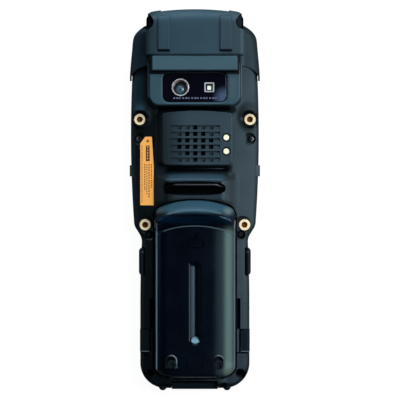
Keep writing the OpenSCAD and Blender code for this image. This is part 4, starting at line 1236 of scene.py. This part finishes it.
def cover_outline(gap):
    """Outline of the battery cover, grown by a gap."""
    radius_x = LOW_CORNER_X + gap
    radius_y = LOW_CORNER_Y + gap
    corner_x = COVER_HALF - LOW_CORNER_X
    corner_y = COVER_BOTTOM + LOW_CORNER_Y
    right = [(2, COVER_BOTTOM - gap)]
    for a in (math.radians(9 * i) for i in range(11)):
        right.append((corner_x + radius_x * math.sin(a), corner_y - radius_y * math.cos(a)))
    for s in (40, 20, 12, 8, 6, 4.6):
        right.append((COVER_HALF + gap, COVER_TOP - s - cover_arch(COVER_HALF, 0)))
    for s in (3.5, 2.6, 1.8, 1.2, 0.7, 0.3, 0.0):
        x = cover_half_width(s)
        share = s / TOP_CORNER
        y = COVER_TOP - s - cover_arch(x, 0) + gap * (1 - share)
        right.append((x + gap * (0.35 + 0.65 * share), y))
    right += [(x, COVER_TOP + gap - cover_arch(x, 0)) for x in (16, 14, 11, 8, 5, 2)]
    return both_sides(right)


def eye(length, height, centre):
    """A long outline with tapering ends."""
    points = []
    for i in range(EYE_POINTS):
        c, s = math.cos(math.tau * i / EYE_POINTS), math.sin(math.tau * i / EYE_POINTS)
        x = math.copysign(abs(c) ** 0.62, c) * length / 2
        points.append((centre[0] + x, centre[1] + math.copysign(abs(s) ** 0.8, s) * height / 2))
    return points


cut(
    shell,
    prism("bay", cover_outline(BAY_GAP), BAY_FLOOR_Z, OVER_ALL),
    frustum(
        "recess", eye(29.5, 5.5, RECESS_CENTRE), eye(34.5, 7.9, RECESS_CENTRE),
        RECESS_FLOOR_Z, RIDGE_TOP_Z + 2,
    ),
    slab("undercut", -16.5, 16.5, 3.7, 12.1, RECESS_FLOOR_Z, 21.2),
)
platform = prism("platform", round_rectangle(49.2, 30, 6, (0, 63.0)), 12, PLATFORM_Z)
bevel_edges(platform, 0.7, 3, flat_at(PLATFORM_Z))
combine(shell, platform, "UNION")
cut(
    shell,
    prism("panel_well", round_rectangle(31, 22.7, 2, (0, 31.85)), 12, 30),
    prism("camera_well", round_rectangle(28.4, 10.4, 1.5, (0, GLASS_Y)), 12, 30),
)
print("shell", len(shell.data.polygons), "faces")

# %% Wells and pockets
WELLS = (
    # place and floor height, mouth radius, reach of the flared mouth
    (*INSERTS[0], 3.75, 1.2), (*INSERTS[1], 3.75, 0.9),
    (*SCREWS[0][:2], 12.9, 2.4, 0.8), (*SCREWS[1][:2], 11.7, 2.3, 0.6),
)
POCKET_FLOOR_Z = 11.2
SIDE_KEY_POCKET = (30.2, 40, 11.8, 18.3, POCKET_FLOOR_Z, 14.7)
SCAN_KEY_POCKET = (24.9, 40, -40.2, -24.8, POCKET_FLOOR_Z, 14.6)
PORT_POCKET = (23.15, 40, -80.5, -67.7, 9, 30)
SIDE_SLOT = (21.5, 23.9, -67.9, -51.8, 12.5, 30)


def well(x, y, floor_z, mouth, reach):
    """Cuts a round well with a flared mouth, and a seat where it holds an insert."""
    edge_z = deck_height(x, y)
    flare = rod("mouth", mouth, edge_z - reach, edge_z + reach, x, y, top_radius=mouth + 2 * reach)
    cut(shell, rod("well", mouth, floor_z - 0.02, floor_z + 6, x, y), flare)
    if mouth > 3:
        cut(shell, rod("insert_seat", 3.17, floor_z - 4.4, floor_z, x, y))


for side in (-1, 1):
    for x, y, floor_z, mouth, reach in WELLS:
        well(side * x, y, floor_z, mouth, reach)
    scan_mouth = round_rectangle(6.4, 15.3, 1.2, (side * 29.3, -32.5))
    cut(
        shell,
        side_slab("side_key_pocket", side, *SIDE_KEY_POCKET),
        side_slab("scan_key_pocket", side, *SCAN_KEY_POCKET),
        prism("scan_key_mouth", scan_mouth, POCKET_FLOOR_Z, 30),
        side_slab("port_pocket", side, *PORT_POCKET),
        side_slab("side_slot", side, *SIDE_SLOT),
    )
cut(shell, slab("label_recess", -28.8, -21.35, -3.2, 33.0, 15.35, 30))
finished(shell, "rear_shell", SHELL, "housing", "shell", "rear_housing")

# %% [markdown]
# ## Lower cap
#
# The lower end is a harder moulding of its own, whose two lugs hold the dock flap's pin. It
# could be modelled from a box, but the deck's own function, given the cap's rows, makes it
# meet the shell in one even line. Each lug is a prism with round ends, joined to it.

# %% Lower cap with its two lugs
CAP_ROWS = [LOW_Y + 8.2 * (i / 22) ** 1.7 for i in range(23)] + steps(-89.8, -81.0, 1.2)
CAP_ROWS += [-81.0, -80.75, -80.55, -80.35, -80.2, -80.1]
LUG_X = 16.8
LUG_TOP_Z = 17.9
cap = deck_piece("lower_cap", CAP_ROWS, 84)
for vertex in cap.data.vertices:
    if vertex.co.z > 12 * MM:
        vertex.co.z -= 0.8 * MM * ease((vertex.co.y / MM + 80.9) / 0.8)
cap.data.update()
cut(cap, prism("bay", cover_outline(BAY_GAP), BAY_FLOOR_Z, OVER_ALL))
for side in (-1, 1):
    lug = prism("lug", stadium(4.2, -100, -92, side * LUG_X), SHELL_FOOT_Z, LUG_TOP_Z)
    bevel_edges(lug, 1.0, 4, flat_at(LUG_TOP_Z))
    combine(cap, lug, "UNION")
cut(cap, slab("flap_room", *beside(0, 12.08), -105, -94.9, 0, OVER_ALL))
for x in (-SCREWS[2][0], SCREWS[2][0]):
    y = SCREWS[2][1]
    cut(cap, rod("well", 2.4, 11.7, 22, x, y), rod("mouth", 2.4, 14.6, 16.6, x, y, top_radius=3.6))
finished(cap, "lower_cap", CAP, "housing", "cap", "bottom_cap")

# %% [markdown]
# ## Scanner head bumper
#
# A soft rubber bumper wraps the scanner end. Its raised block has a domed front, two flat
# ribs and scooped corners, and its cheeks run down the sides as a thin skin. The block and
# the skin are sheets with their own heights, joined and then hollowed by the deck below.

# %% Height of the head block
HEAD_HALF = 25.6
HEAD_Y0 = 75.2
HEAD_Y1 = 100.0
HEAD_Z = 26.6
DOME = 148.0
HEAD_FRONT = 7.5
HEAD_EDGE = 2.0
HEAD_BACK = 1.1
HEAD_CORNER = 3.6
BUMPER_FOOT_Z = 4.5


def dome(x):
    """How far the domed front bends back at x."""
    return DOME - arc_reach(DOME, x)


def head_half(s):
    """Half width of the head at a distance s behind its domed front."""
    if s < HEAD_CORNER:
        return HEAD_HALF - HEAD_CORNER + arc_reach(HEAD_CORNER, HEAD_CORNER - s)
    return HEAD_HALF


def head_height(x, y):
    """Height of the block, which is rounded at its front, its sides and its back."""
    s = HEAD_Y1 - dome(x) - y
    front = nearness(s, HEAD_FRONT)
    side = nearness(head_half(max(0, s)) - abs(x), HEAD_EDGE)
    z = HEAD_Z - 0.5 * (x / HEAD_HALF) ** 2
    z -= (HEAD_FRONT - 0.5) * (1 - math.sqrt(max(0, 1 - front * front * 0.985)))
    back = nearness(y - HEAD_Y0, HEAD_BACK)
    return z - 0.9 * HEAD_EDGE * rounding(side) - HEAD_BACK * rounding(back)


HEAD_ROWS = [24.7 * (i / 34) ** 1.5 for i in range(35)]
HEAD_ROWS += [23.7, 23.95, 24.2, 24.45, 24.6, 24.72, 24.79]
HEAD_ROWS.sort(reverse=True)


def head_place(u, s):
    x = head_half(s) * spaced(u, 1.5)
    y = HEAD_Y1 - s - dome(x) * (1 - ease((s - 8) / 16))
    return (x, y, head_height(x, y))


head = add_skirt(row_sheet("head", HEAD_ROWS, 60, head_place), BUMPER_FOOT_Z)
print("head", len(head.data.vertices), "points")

# %% Ribs on the head block
RIB_WIDTH = 6.3
RIB_Y = (77.3, 96.0)
RIB_RISE = 1.0
RIB_SLOPE = 1.3


def rib(side):
    middle, (y0, y1) = side * RIB_X, RIB_Y

    def place(u, v):
        x, y = middle + (u - 0.5) * RIB_WIDTH, mix(y0, y1, v)
        across = nearness(RIB_WIDTH / 2 - abs(x - middle), 0.45)
        fall = rounding(across, nearness(y - y0, RIB_SLOPE), nearness(y1 - y, 0.5))
        return (x, y, head_height(x, y) + RIB_RISE - 0.9 * RIB_RISE * fall)

    return add_skirt(sheet("rib", 22, 44, place), 20)


for side in (-1, 1):
    combine(head, rib(side), "UNION")

# %% Cheeks
CHEEKS = [
    (62.4, 34.15), (63.5, 34.12), (65.1, 34.1), (68.2, 33.9), (73.0, 33.5), (76.0, 33.2),
    (79.3, 32.9), (82.4, 32.65), (84.0, 32.4), (85.4, 31.95), (86.6, 31.3), (87.9, 30.2),
    (88.9, 29.1), (89.9, 27.8), (90.7, 26.6), (91.2, 25.8),
]
CHEEK_SKIN = 1.7
CHEEK_FRONT_Y = 91.5


def cheek_half(y):
    """Half width of the head's cheeks, between the points of their outline."""
    for (y0, x0), (y1, x1) in zip(CHEEKS, CHEEKS[1:]):
        if y <= y1:
            return mix(x0, x1, (y - y0) / (y1 - y0))
    return CHEEKS[-1][1]


def cheek_height(x, y):
    z = DECK_Z - CROWN + arc_reach(CROWN + CHEEK_SKIN, x) + 0.1
    across = nearness(cheek_half(y) - abs(x), 4.2)
    return z - 4.0 * rounding(across, nearness(CHEEK_FRONT_Y - y, 5.0))


def cheek_place(u, y):
    x = cheek_half(y) * spaced(u, 1.5)
    return (x, y, cheek_height(x, y))


cheek_rows = steps(62.4, 80, 1.1) + steps(80, 91.2, 0.4) + [91.2]
cheeks = add_skirt(row_sheet("cheeks", cheek_rows, 72, cheek_place), BUMPER_FOOT_Z)
cut_line = [
    (33.3, 60), (33.3, 64.8), (32.8, 65.8), (31.6, 67.1), (29.4, 68.8), (25.6, 69.9),
    (23.6, 70.2),
]
cut(
    cheeks, prism("cheek_cut", both_sides(cut_line), 0, OVER_ALL),
    slab("between", *beside(0, 23.6), 60, 80, 0, OVER_ALL),
)
combine(head, cheeks, "UNION")
print("cheeks added,", len(head.data.polygons), "faces")

# %% Hollow, corner scoops and the scan window's mouth


def under_skin(x, y, z):
    """Keeps the core inside the cheeks, which narrow and fall away toward the front."""
    z = 0 if z < 11 else z - 4.0 * ease((y - 82) / 7)
    narrow = min(0.9816, (cheek_half(y) - 0.9) / half_width(y))
    return (x * narrow, y, z)


core = deck_piece("core", steps(55, 89, 1.5) + [89], 60)
move_vertices(core, under_skin)
cut(head, core)
for side in (-1, 1):
    scoop = rod("scoop", 4.0, 8.5, OVER_ALL, side * SCOOP_PLACE[0], SCOOP_PLACE[1])
    cut(scoop, side_slab("outer", side, 25.7, 40, 80, 100, 0, 50))
    cut(head, scoop)
cut(
    head, slab("window_mouth", *beside(0, 16.6), 92, 105, 11.9, 21.7),
    slab("window_chamfer", *beside(0, 17.8), 96.9, 105, 11.2, 22.6),
)
finished(head, "head_bumper", BUMPER, "housing", "bumper", "top_bumper", angle=30)

# %% [markdown]
# ## Camera bezel
#
# The bezel is a satin plate with a tall visor bar, which keeps the sun off the lens. Its
# edges are rounded so that they draw a thin bright line, and the mouth for the glass has a
# chamfer. The lens sits low in a turned ring, beside a square light in its own frame. All of
# it is flat or turned, so extruded outlines and cylinders with cut holes suit it better than
# a sheet, which would only add points to flat faces.

# %% Bezel plate and visor
BEZEL_Z = 24.4
BEZEL_FOOT_Z = 22.3
GLASS_Z = 23.7
VISOR_Z = 26.0
SEAT = (33.7, 15.7, 3.4)
CHAMFER = 1.3


def around_glass(width, length, radius):
    return round_rectangle(width, length, radius, (0, GLASS_Y))


bezel = prism("camera_frame", round_rectangle(47.4, 25.7, 5.2, (0, 62.1)), BEZEL_FOOT_Z, BEZEL_Z)
bevel_edges(bezel, 0.75, 4, flat_at(BEZEL_Z))
visor = frustum(
    "visor",
    [(-23.6, 65.8), (23.6, 65.8), (23.6, 74.95), (-23.6, 74.95)],
    [(-22.0, 67.5), (22.0, 67.5), (22.0, 74.95), (-22.0, 74.95)],
    BEZEL_FOOT_Z + 0.5, VISOR_Z,
)
bevel_edges(visor, 0.35, 3, flat_at(VISOR_Z))
combine(bezel, visor, "UNION")
width, length, radius = SEAT
mouth = around_glass(width + 2 * CHAMFER, length + 2 * CHAMFER, radius + CHAMFER)
cut(
    bezel, prism("glass_seat", around_glass(*SEAT), 10, OVER_ALL),
    frustum("glass_chamfer", around_glass(*SEAT), mouth, BEZEL_Z - 0.75, BEZEL_Z + 0.55),
)
finished(bezel, "camera_frame", BEZEL, "housing", "bezel", "camera_bezel")

# %% Glass, lens ring, lens and light
LENS_Y = GLASS_Y - 1.1
LAMP_HOLE = 1.85


def ring_piece(name, outer, inner, z0, z1, x, y, sides=64):
    piece = rod(name, outer, z0, z1, x, y, sides)
    return combine(piece, rod("hole", inner, z0 - 1, z1 + 1, x, y, sides))


glass = prism("camera_window", around_glass(32.8, 14.9, 3.2), BEZEL_FOOT_Z, GLASS_Z)
bevel_edges(glass, 0.25, 3, flat_at(GLASS_Z))
lens_hole = rod("lens_hole", 4.0, 10, OVER_ALL, LENS_X, GLASS_Y, 64)
lamp_hole = (*beside(LAMP_X, LAMP_HOLE), *beside(GLASS_Y, LAMP_HOLE), 10, OVER_ALL)
cut(glass, lens_hole, slab("lamp_hole", *lamp_hole))
finished(glass, "camera_window", LENS_GLASS, "housing", "lens_glass", "camera_glass")

ring = ring_piece("lens_rim", 4.55, 3.9, GLASS_Z - 0.02, GLASS_Z + 0.3, LENS_X, GLASS_Y)
soften(ring, 0.1)
finished(ring, "lens_rim", SILVER, "housing", "ring", "lens_ring")

barrel = ring_piece("lens_barrel", 3.88, 3.1, GLASS_Z - 2.6, GLASS_Z - 0.5, LENS_X, GLASS_Y)
throat_place = (GLASS_Z - 1.6, GLASS_Z - 0.4, LENS_X, GLASS_Y - 0.1, 64)
cut(barrel, rod("throat", 3.1, *throat_place, top_radius=3.75))
finished(barrel, "lens_barrel", BARREL, "housing", "module")

lens = ball(4.4, (LENS_X, LENS_Y, GLASS_Z - 4.9), 48, 32)
trim = rod("lens_trim", 2.4, GLASS_Z - 2.2, GLASS_Z, LENS_X, LENS_Y, 64)
combine(lens, trim, "INTERSECT")
finished(lens, "lens_dome", LENS, "housing", "lens", "camera_lens")
pupil = rod("lens_pupil", 0.55, GLASS_Z - 0.7, GLASS_Z - 0.48, LENS_X, LENS_Y, 32)
finished(pupil, "lens_pupil", GASKET, "housing", "lens")

# %% Glass ticks and the light
TICK_LENGTHS = (0.9, 1.15, 0.7)
TICK_X = -11.2
TICK_PITCH = 1.56
TICK_BOX = (52.45, 53.3, GLASS_Z - 0.2, GLASS_Z + 0.02)
ticks = []
for i in range(15):
    x = TICK_X + TICK_PITCH * i
    ticks.append(slab("tick", x, x + TICK_LENGTHS[i % 3], *TICK_BOX))
finished(joined(ticks), "glass_ticks", TICK_INK, "housing", "lens_glass")


def around_lamp(size, radius, steps, drop=0):
    return round_rectangle(size, size, radius, (LAMP_X, GLASS_Y - drop), steps)


lamp_frame = prism("lamp_frame", around_lamp(5.1, 0.5, 3), GLASS_Z - 0.02, GLASS_Z + 0.3)
cut(lamp_frame, prism("hole", around_lamp(3.7, 0.2, 2), 10, OVER_ALL))
soften(lamp_frame, 0.09)
finished(lamp_frame, "lamp_frame", SILVER, "housing", "ring", "flash_frame")
lamp = prism("lamp", around_lamp(2.2, 0.4, 3, drop=0.25), GLASS_Z - 1.8, GLASS_Z - 0.55)
bevel_edges(lamp, 0.25, 3, flat_at(GLASS_Z - 0.55))
finished(lamp, "lamp", LED, "housing", "led", "flash_led")

# %% [markdown]
# ## Speaker panel
#
# The panel is a raised pad with a steep left flank. Six shallow slots cross it, and a diamond
# of square holes goes through to the speaker behind. A bump texture could draw the slots, but
# only cuts in a loop give the mesh their real depth and their dark floors.

# %% Speaker panel
PANEL_Z = 22.6
PANEL_FOOT_Z = 17.0
PANEL_ARCH = 1.4
PANEL_CORNER = 1.6
SLOT_ROWS = 6
SLOT_X = (-12.6, 13.2)
SLOT_HALF = 1.15
ROW_PITCH = 3.37
CELL_PITCH = 4.15
CELL_HALF_X = 1.15
CELL_HALF_Y = 1.14
GRILLE_Y = 29.2


def panel_outline(left, right, y0, y1, radius):
    """A rectangle with small upper corners, larger lower ones and an arched upper edge."""
    corner = PANEL_CORNER
    middle = (left + right) / 2
    top_x = (right - radius, 9, 3, -3, -9, left + radius)
    top = [(x, y1 - PANEL_ARCH * ((x - middle) / 18) ** 2) for x in top_x]
    lower_right = arc_points((right - radius, y0 + radius), radius, -90, 0, 6)
    upper_right = arc_points((right - corner, top[0][1] - corner), corner, 0, 60, 3)
    upper_left = arc_points((left + corner, top[-1][1] - corner), corner, 120, 180, 3)
    lower_left = arc_points((left + radius, y0 + radius), radius, 180, 270, 6)
    return lower_right + upper_right + top + upper_left + lower_left


panel = frustum(
    "speaker_pad", panel_outline(-20.4, 20.1, 17.5, 46.6, 3.2),
    panel_outline(-17.2, 19.6, 17.9, 46.4, 2.6), PANEL_FOOT_Z, PANEL_Z,
)
bevel_edges(panel, 0.5, 3, flat_at(PANEL_Z))
for row in range(SLOT_ROWS):
    y = GRILLE_Y + (row - (SLOT_ROWS - 1) / 2) * ROW_PITCH
    cut(
        panel, slab("slot", *SLOT_X, *beside(y, SLOT_HALF), PANEL_Z - 0.6, OVER_ALL),
        slab("slot_root", *SLOT_X, y + 0.45, y + SLOT_HALF, PANEL_Z - 2.6, OVER_ALL),
    )
    reach = min(row, SLOT_ROWS - 1 - row)
    for cell in range(-2, 3):
        x = cell * CELL_PITCH + 0.2
        cell_z = (PANEL_Z - (8 if abs(cell) <= reach else 1.9), OVER_ALL)
        cut(panel, slab("cell", *beside(x, CELL_HALF_X), *beside(y, CELL_HALF_Y), *cell_z))
print(SLOT_ROWS, "slots in the panel")

# %% Grip contacts in the panel
CONTACT_X = 16.4
CONTACTS_Y = (32.3, 25.1)
CONTACT_Z = PANEL_Z - 0.2


def contact(y):
    return rod("contact", 1.52, 14.4, CONTACT_Z, CONTACT_X, y)


for y in CONTACTS_Y:
    seat = rod("contact_seat", 1.7, 10, OVER_ALL, CONTACT_X, y)
    cut(panel, seat, rod("contact_ring", 2.35, PANEL_Z - 1.2, OVER_ALL, CONTACT_X, y))
finished(panel, "speaker_pad", PANEL, "housing", "shell", "speaker_panel")
contacts = combine(contact(CONTACTS_Y[0]), contact(CONTACTS_Y[1]), "UNION")
bevel_edges(contacts, 0.25, 3, flat_at(CONTACT_Z))
# Dark rings in the counterbores round the contacts, as painted shade.
ring_z = (PANEL_Z - 1.18, PANEL_Z - 0.35)
rings = [ring_piece("ring", 2.33, 1.55, *ring_z, CONTACT_X, y) for y in CONTACTS_Y]
finished(joined(rings), "contact_shade_rings", GASKET, "housing", "gasket")
finished(contacts, "pad_contacts", GOLD, "housing", "gold", "grip_contacts")

# %% [markdown]
# ## Strap bar, inserts, screws and label
#
# The strap bar is a bent steel rod whose ends drop into the shell. It starts straight, is
# subdivided along its length and then follows a formula, which keeps its section round. The
# threaded inserts are turned brass with a chamfered bore, and grooves stand for the thread,
# because a true helix wouldn't show at this size. The label is a thin film with a cut corner
# and printed marks, which stay plain bars so that they say nothing.

# %% Strap bar
BAR_Y = 7.75
BAR_Z = 22.6
BAR_RADIUS = 0.45
BAR_HALF = 18.4
BAR_BEND = 10.4
BEND_LENGTH = 7.0
BAR_SEAT = (2.0, 4.0)  # how far the ends run down toward the seat, in y and in z


def bent(x, y, z):
    """Lays the rod across and lets its ends fall away beyond the bend."""
    out = ease((abs(z) - BAR_BEND) / BEND_LENGTH)
    return (z, BAR_Y + y - BAR_SEAT[0] * out, BAR_Z - x - BAR_SEAT[1] * out)


bar = rod("strap_rod", BAR_RADIUS, -BAR_HALF, BAR_HALF, sides=24)
edit(bar, "EDGE")
pick_edges(bar, lambda a, b: abs(a.z - b.z) > BAR_HALF)
bpy.ops.mesh.subdivide(number_cuts=60)
done()
finished(turned(bar, bent), "strap_rod", STEEL, "housing", "steel", "strap_bar")

# %% Threaded inserts
INSERT_RADIUS = 3.15
INSERT_BORE = 1.3
INSERT_LEAD = 1.6
INSERT_PROUD = 0.1
THREAD_PITCH = 0.45


def on_both_sides(places, make):
    """The pieces that make(x, y, top) gives on both sides of the middle."""
    return [make(side * x, y, top) for side in (-1, 1) for x, y, top in places]


def united(pieces):
    for other in pieces[1:]:
        combine(pieces[0], other, "UNION")
    return pieces[0]


def insert(x, y, top):
    face = top + INSERT_PROUD
    piece = rod("insert", INSERT_RADIUS, top - 4, face, x, y, 56)
    bevel_edges(piece, 0.3, 4, flat_at(face))
    cut(
        piece, rod("bore", INSERT_BORE, top - 3.4, top + 5, x, y, 40),
        rod("lead", INSERT_LEAD, face - 1.3, face + 0.05, x, y, 40),
    )
    for turn in range(5):
        z = top - 1.4 - THREAD_PITCH * turn
        cut(piece, rod("thread", INSERT_BORE, z - 0.24, z, x, y, 40, INSERT_BORE + 0.22))
    return piece


def bore_sleeve(x, y, top):
    """Darker brass inside an insert's bore, as painted shade, so that the thread reads as deep."""
    sleeve = rod("sleeve", INSERT_BORE - 0.02, top - 3.3, top - 1.0, x, y, 40)
    collar = rod("collar", INSERT_LEAD - 0.02, top - 1.15, top - 0.15, x, y, 40)
    combine(sleeve, collar, "UNION")
    cut(sleeve, rod("core", 0.45, top - 2.9, top - 0.1, x, y, 40, top_radius=1.6))
    return sleeve


inserts = united(on_both_sides(INSERTS, insert))
bores = on_both_sides(INSERTS, bore_sleeve)
finished(inserts, "threaded_inserts", BRASS, "housing", "brass", "threaded_inserts", angle=28)
finished(joined(bores), "insert_bores", SHADED_BORE_BRASS, "housing", "brass")

# %% Housing screws
SCREW_RADIUS = 1.6
SOCKET_RADIUS = 0.8


def six_points(radius, x, y):
    angles = [math.radians(60 * i) for i in range(6)]
    return [(x + radius * math.sin(a), y + radius * math.cos(a)) for a in angles]


def screw(x, y, top):
    piece = rod("screw", SCREW_RADIUS, top - 1.3, top, x, y, 40)
    bevel_edges(piece, 0.45, 4, flat_at(top))
    cut(piece, prism("socket", six_points(SOCKET_RADIUS, x, y), top - 0.8, top + 2))
    return combine(piece, rod("shank", 0.9, 1.6, top - 1.2, x, y, 24), "UNION")


screws = united(on_both_sides(SCREWS, screw))
finished(screws, "socket_screws", SCREW, "housing", "screw", "housing_screws")

# %% Label
LABEL_X = (-28.6, -21.55)
LABEL_Y = (-3.05, 32.85)
FILM_X = (-29, -21.4)
FILM_Y = (-3.1, 33)


def label_z(x):
    """Height of the label, which lies on the crown."""
    return crown_z(x) + 0.06


def film_place(u, v):
    x = mix(*FILM_X, u)
    return (x, mix(*FILM_Y, v), label_z(x))


film = add_skirt(sheet("label", 12, 40, film_place), 15.4)
(left, right), (y0, y1) = LABEL_X, LABEL_Y
trim = [(left, y0), (right, y0), (right, 18), (right - 0.95, y1), (-25.9, y1), (left, 29.4)]
combine(film, prism("label_trim", trim, 10, 30), "INTERSECT")
finished(film, "label_film", LABEL, "housing", "label", "label_plate")

# %% Printed marks on the label
MARK_Z = (-0.25, 0.03)
DASH_HALF = 0.3
DASH_LINES = (
    # x, first y, last y, length, gap
    (-22.75, 18.4, 6.2, 0.75, 0.3), (-24.0, 18.6, 0.6, 0.9, 0.35),
    (-25.15, 18.2, 3.2, 0.6, 0.4), (-26.25, 18.6, 5.0, 0.8, 0.35),
    (-27.7, 28.2, -2.0, 0.45, 0.5),
)


def on_film(piece):
    """Lays a mark, made about height 0, on the sloping film."""
    move_vertices(piece, lambda x, y, z: (x, y, z + label_z(x)))
    return piece


dashes = []
for x, y, last_y, length, gap in DASH_LINES:
    while y > last_y:
        dashes.append(on_film(slab("mark", *beside(x, DASH_HALF), y - length, y, *MARK_Z)))
        y -= length + gap * (1 + (len(dashes) * 7 % 5) * 0.18)
finished(joined(dashes), "label_dashes", INK, "housing", "label")
block = on_film(slab("mark", -25.65, -23.7, 20.1, 28.2, *MARK_Z))
for i in range(5):
    y = 21.0 + 1.5 * i
    cut(block, slab("gap", -25.0 + 0.1 * (i % 2), -24.4, y, y + 0.9, 10, 30))
diamond = [(-25.6, 30.6), (-24.7, 31.5), (-23.8, 30.6), (-24.7, 29.7)]
diamond_mark = on_film(prism("diamond", diamond, *MARK_Z))
finished(block, "label_block", DARK_INK, "housing", "label")
finished(diamond_mark, "label_diamond", INK, "housing", "label")

# %% [markdown]
# ## Keys and covers on the sides
#
# The upper keys are small pads. The scan keys are long rubber pads with a scalloped top edge.
# The port covers are soft lids with a painted highlight along their lower edge. What shows of a
# key is the curve of its section, so each one is that section, extruded along the side, and then rounded.

# %% Side keys
SIDE_NAMES = {-1: "left", 1: "right"}
SIDE_KEY_Y = 15.05
SIDE_KEY_HALF = 2.95
SIDE_KEY_PROFILE = (
    (30.62, 11.5), (34.2, 11.5), (34.2, 13.4), (33.4, 13.9), (32.2, 14.3), (30.62, 14.6),
)


def side_bar(side, profile, y, half):
    """A bar along Y on one side, whose section is given for the right side."""
    return bar_along("bar", [(side * x, z) for x, z in profile], y - half, y + half)


for side, name in SIDE_NAMES.items():
    key = side_bar(side, SIDE_KEY_PROFILE, SIDE_KEY_Y, SIDE_KEY_HALF)
    bevel_edges(key, 0.4, 4, lambda a, b: min(abs(a.x), abs(b.x)) > 33.3)
    finished(key, "side_pad_" + name, KEYCAP, "side_key_" + name, "keycap", "side_key_" + name)

# %% Scan keys
SCAN_KEY_Y = -32.5
SCAN_KEY_HALF = 7.4
SCAN_KEY_PROFILE = (
    (25.76, 11.5), (29.34, 11.5), (29.34, 14.6), (28.9, 15.6),
    (28.0, 16.3), (27.1, 16.2), (26.5, 15.4), (25.76, 14.4),
)


def scan_pad_end(a, b):
    """Picks the short upper edges at both ends of a scan key."""
    slanted = abs((a - b).normalized().y) < 0.99 and abs(a.z - b.z) < 1.1
    at_end = max(abs(a.y - SCAN_KEY_Y), abs(b.y - SCAN_KEY_Y)) > 5
    return slanted and at_end and min(a.z, b.z) > 14.4


for side, name in SIDE_NAMES.items():
    pad = side_bar(side, SCAN_KEY_PROFILE, SCAN_KEY_Y, SCAN_KEY_HALF)
    plan = round_rectangle(7.2, 2 * SCAN_KEY_HALF, 2.2, (side * 25.75, SCAN_KEY_Y))
    combine(pad, prism("plan", plan, 5, 30), "INTERSECT")
    bevel_edges(pad, 0.6, 4, scan_pad_end)
    finished(pad, "scan_pad_" + name, PAD, "scan_key_" + name, "keycap", "scan_key_" + name)

# %% Port covers with their grips
PORT_Y = (-79.7, -68.0)


def port_lid(side):
    y0, y1 = PORT_Y
    low = [(side * x, y) for x, y in ((23.5, y0), (28.8, y0), (28.8, y1), (23.5, y1))]
    high = [(side * x, y) for x, y in ((24.0, y0), (27.4, y0), (27.4, y1), (24.0, y1 - 0.3))]
    lid = frustum("lid", low, high, 14.2, 18.3)
    combine(lid, side_slab("wall", side, 27.25, 28.79, y0, y1, 3.4, 14.4), "UNION")
    bevel_edges(lid, 0.5, 3, lambda a, b: min(a.z, b.z) > 14.0)
    for y in (y0 + 2.2 + 0.9 * i for i in range(4)):
        cut(lid, side_slab("grip", side, 28.4, 32, y, y + 0.4, 5, 12.5))
    return lid


for side, name in SIDE_NAMES.items():
    cover_name = "port_cover_" + name
    finished(port_lid(side), "port_lid_" + name, LID, cover_name, "rubber_lid", cover_name)

# %% [markdown]
# ## Latch buttons and dock flap
#
# Two slider buttons hold the battery cover, each in its own well with an arched rim. The dock
# flap closes the lower end: a round barrel on a pin, with a plate that covers the connector.
# The barrel is an arc in the flap's section, so that it stays round about its pin as it opens.

# %% Latch buttons
BUTTON_Y = -85.9
BUTTON_TOP_Z = 25.5
for side, name in SIDE_NAMES.items():
    x = side * LATCH_X
    button = prism("button", round_rectangle(4.6, 4.6, 1.9, (x, BUTTON_Y)), 23.0, BUTTON_TOP_Z)
    bevel_edges(button, 0.4, 3, flat_at(BUTTON_TOP_Z))
    cut(button, prism("dish", round_rectangle(2.4, 3.9, 1.0, (x, BUTTON_Y - 0.9)), 24.3, 30))
    combine(button, slab("foot", *beside(x, 1.2), -93.8, -84.3, 19.7, 20.7), "UNION")
    combine(button, slab("stem", *beside(x, 1.2), -86.9, -84.3, 19.7, 23.2), "UNION")
    latch_name = "latch_" + name
    finished(button, "latch_button_" + name, LATCH, latch_name, "cover", "battery_" + latch_name)

# %% Dock flap
FLAP_HALF = 12.0
FLAP_AXIS = (-96.9, 14.3)
BARREL_RADIUS = 1.7
PIN_ROOM = 0.81


def flap_end(a, b):
    """Picks the upper edges at both ends of the flap."""
    return min(abs(a.x), abs(b.x)) > FLAP_HALF - 0.1 and min(a.z, b.z) > 14.5


flap_profile = [(-99.4, 3.2), (-98.2, 3.2), (-98.2, 13.6), (-96.9, 12.6)]
flap_profile += arc_points(FLAP_AXIS, BARREL_RADIUS, -60, 90, 10)
flap_profile += [(-97.3, 16.0), (-98.9, 15.9), (-99.4, 15.3)]
flap = bar_across("flap", flap_profile, -FLAP_HALF, FLAP_HALF)
bevel_edges(flap, 0.3, 3, flap_end)
pin_room = turned(
    rod("pin_room", PIN_ROOM, -13, 13, sides=32),
    lambda x, y, z: (z, FLAP_AXIS[0] + x, FLAP_AXIS[1] + y),
)
cut(flap, pin_room, slab("finger", -5, 5, -100, -98.9, 4.2, 4.9))
for x in range(-9, 10, 3):
    cut(flap, slab("line", *beside(x, 0.2), -100, -99.2, 6, 13))
finished(flap, "flap_lid", LID, "dock_flap", "rubber_lid", "dock_flap")
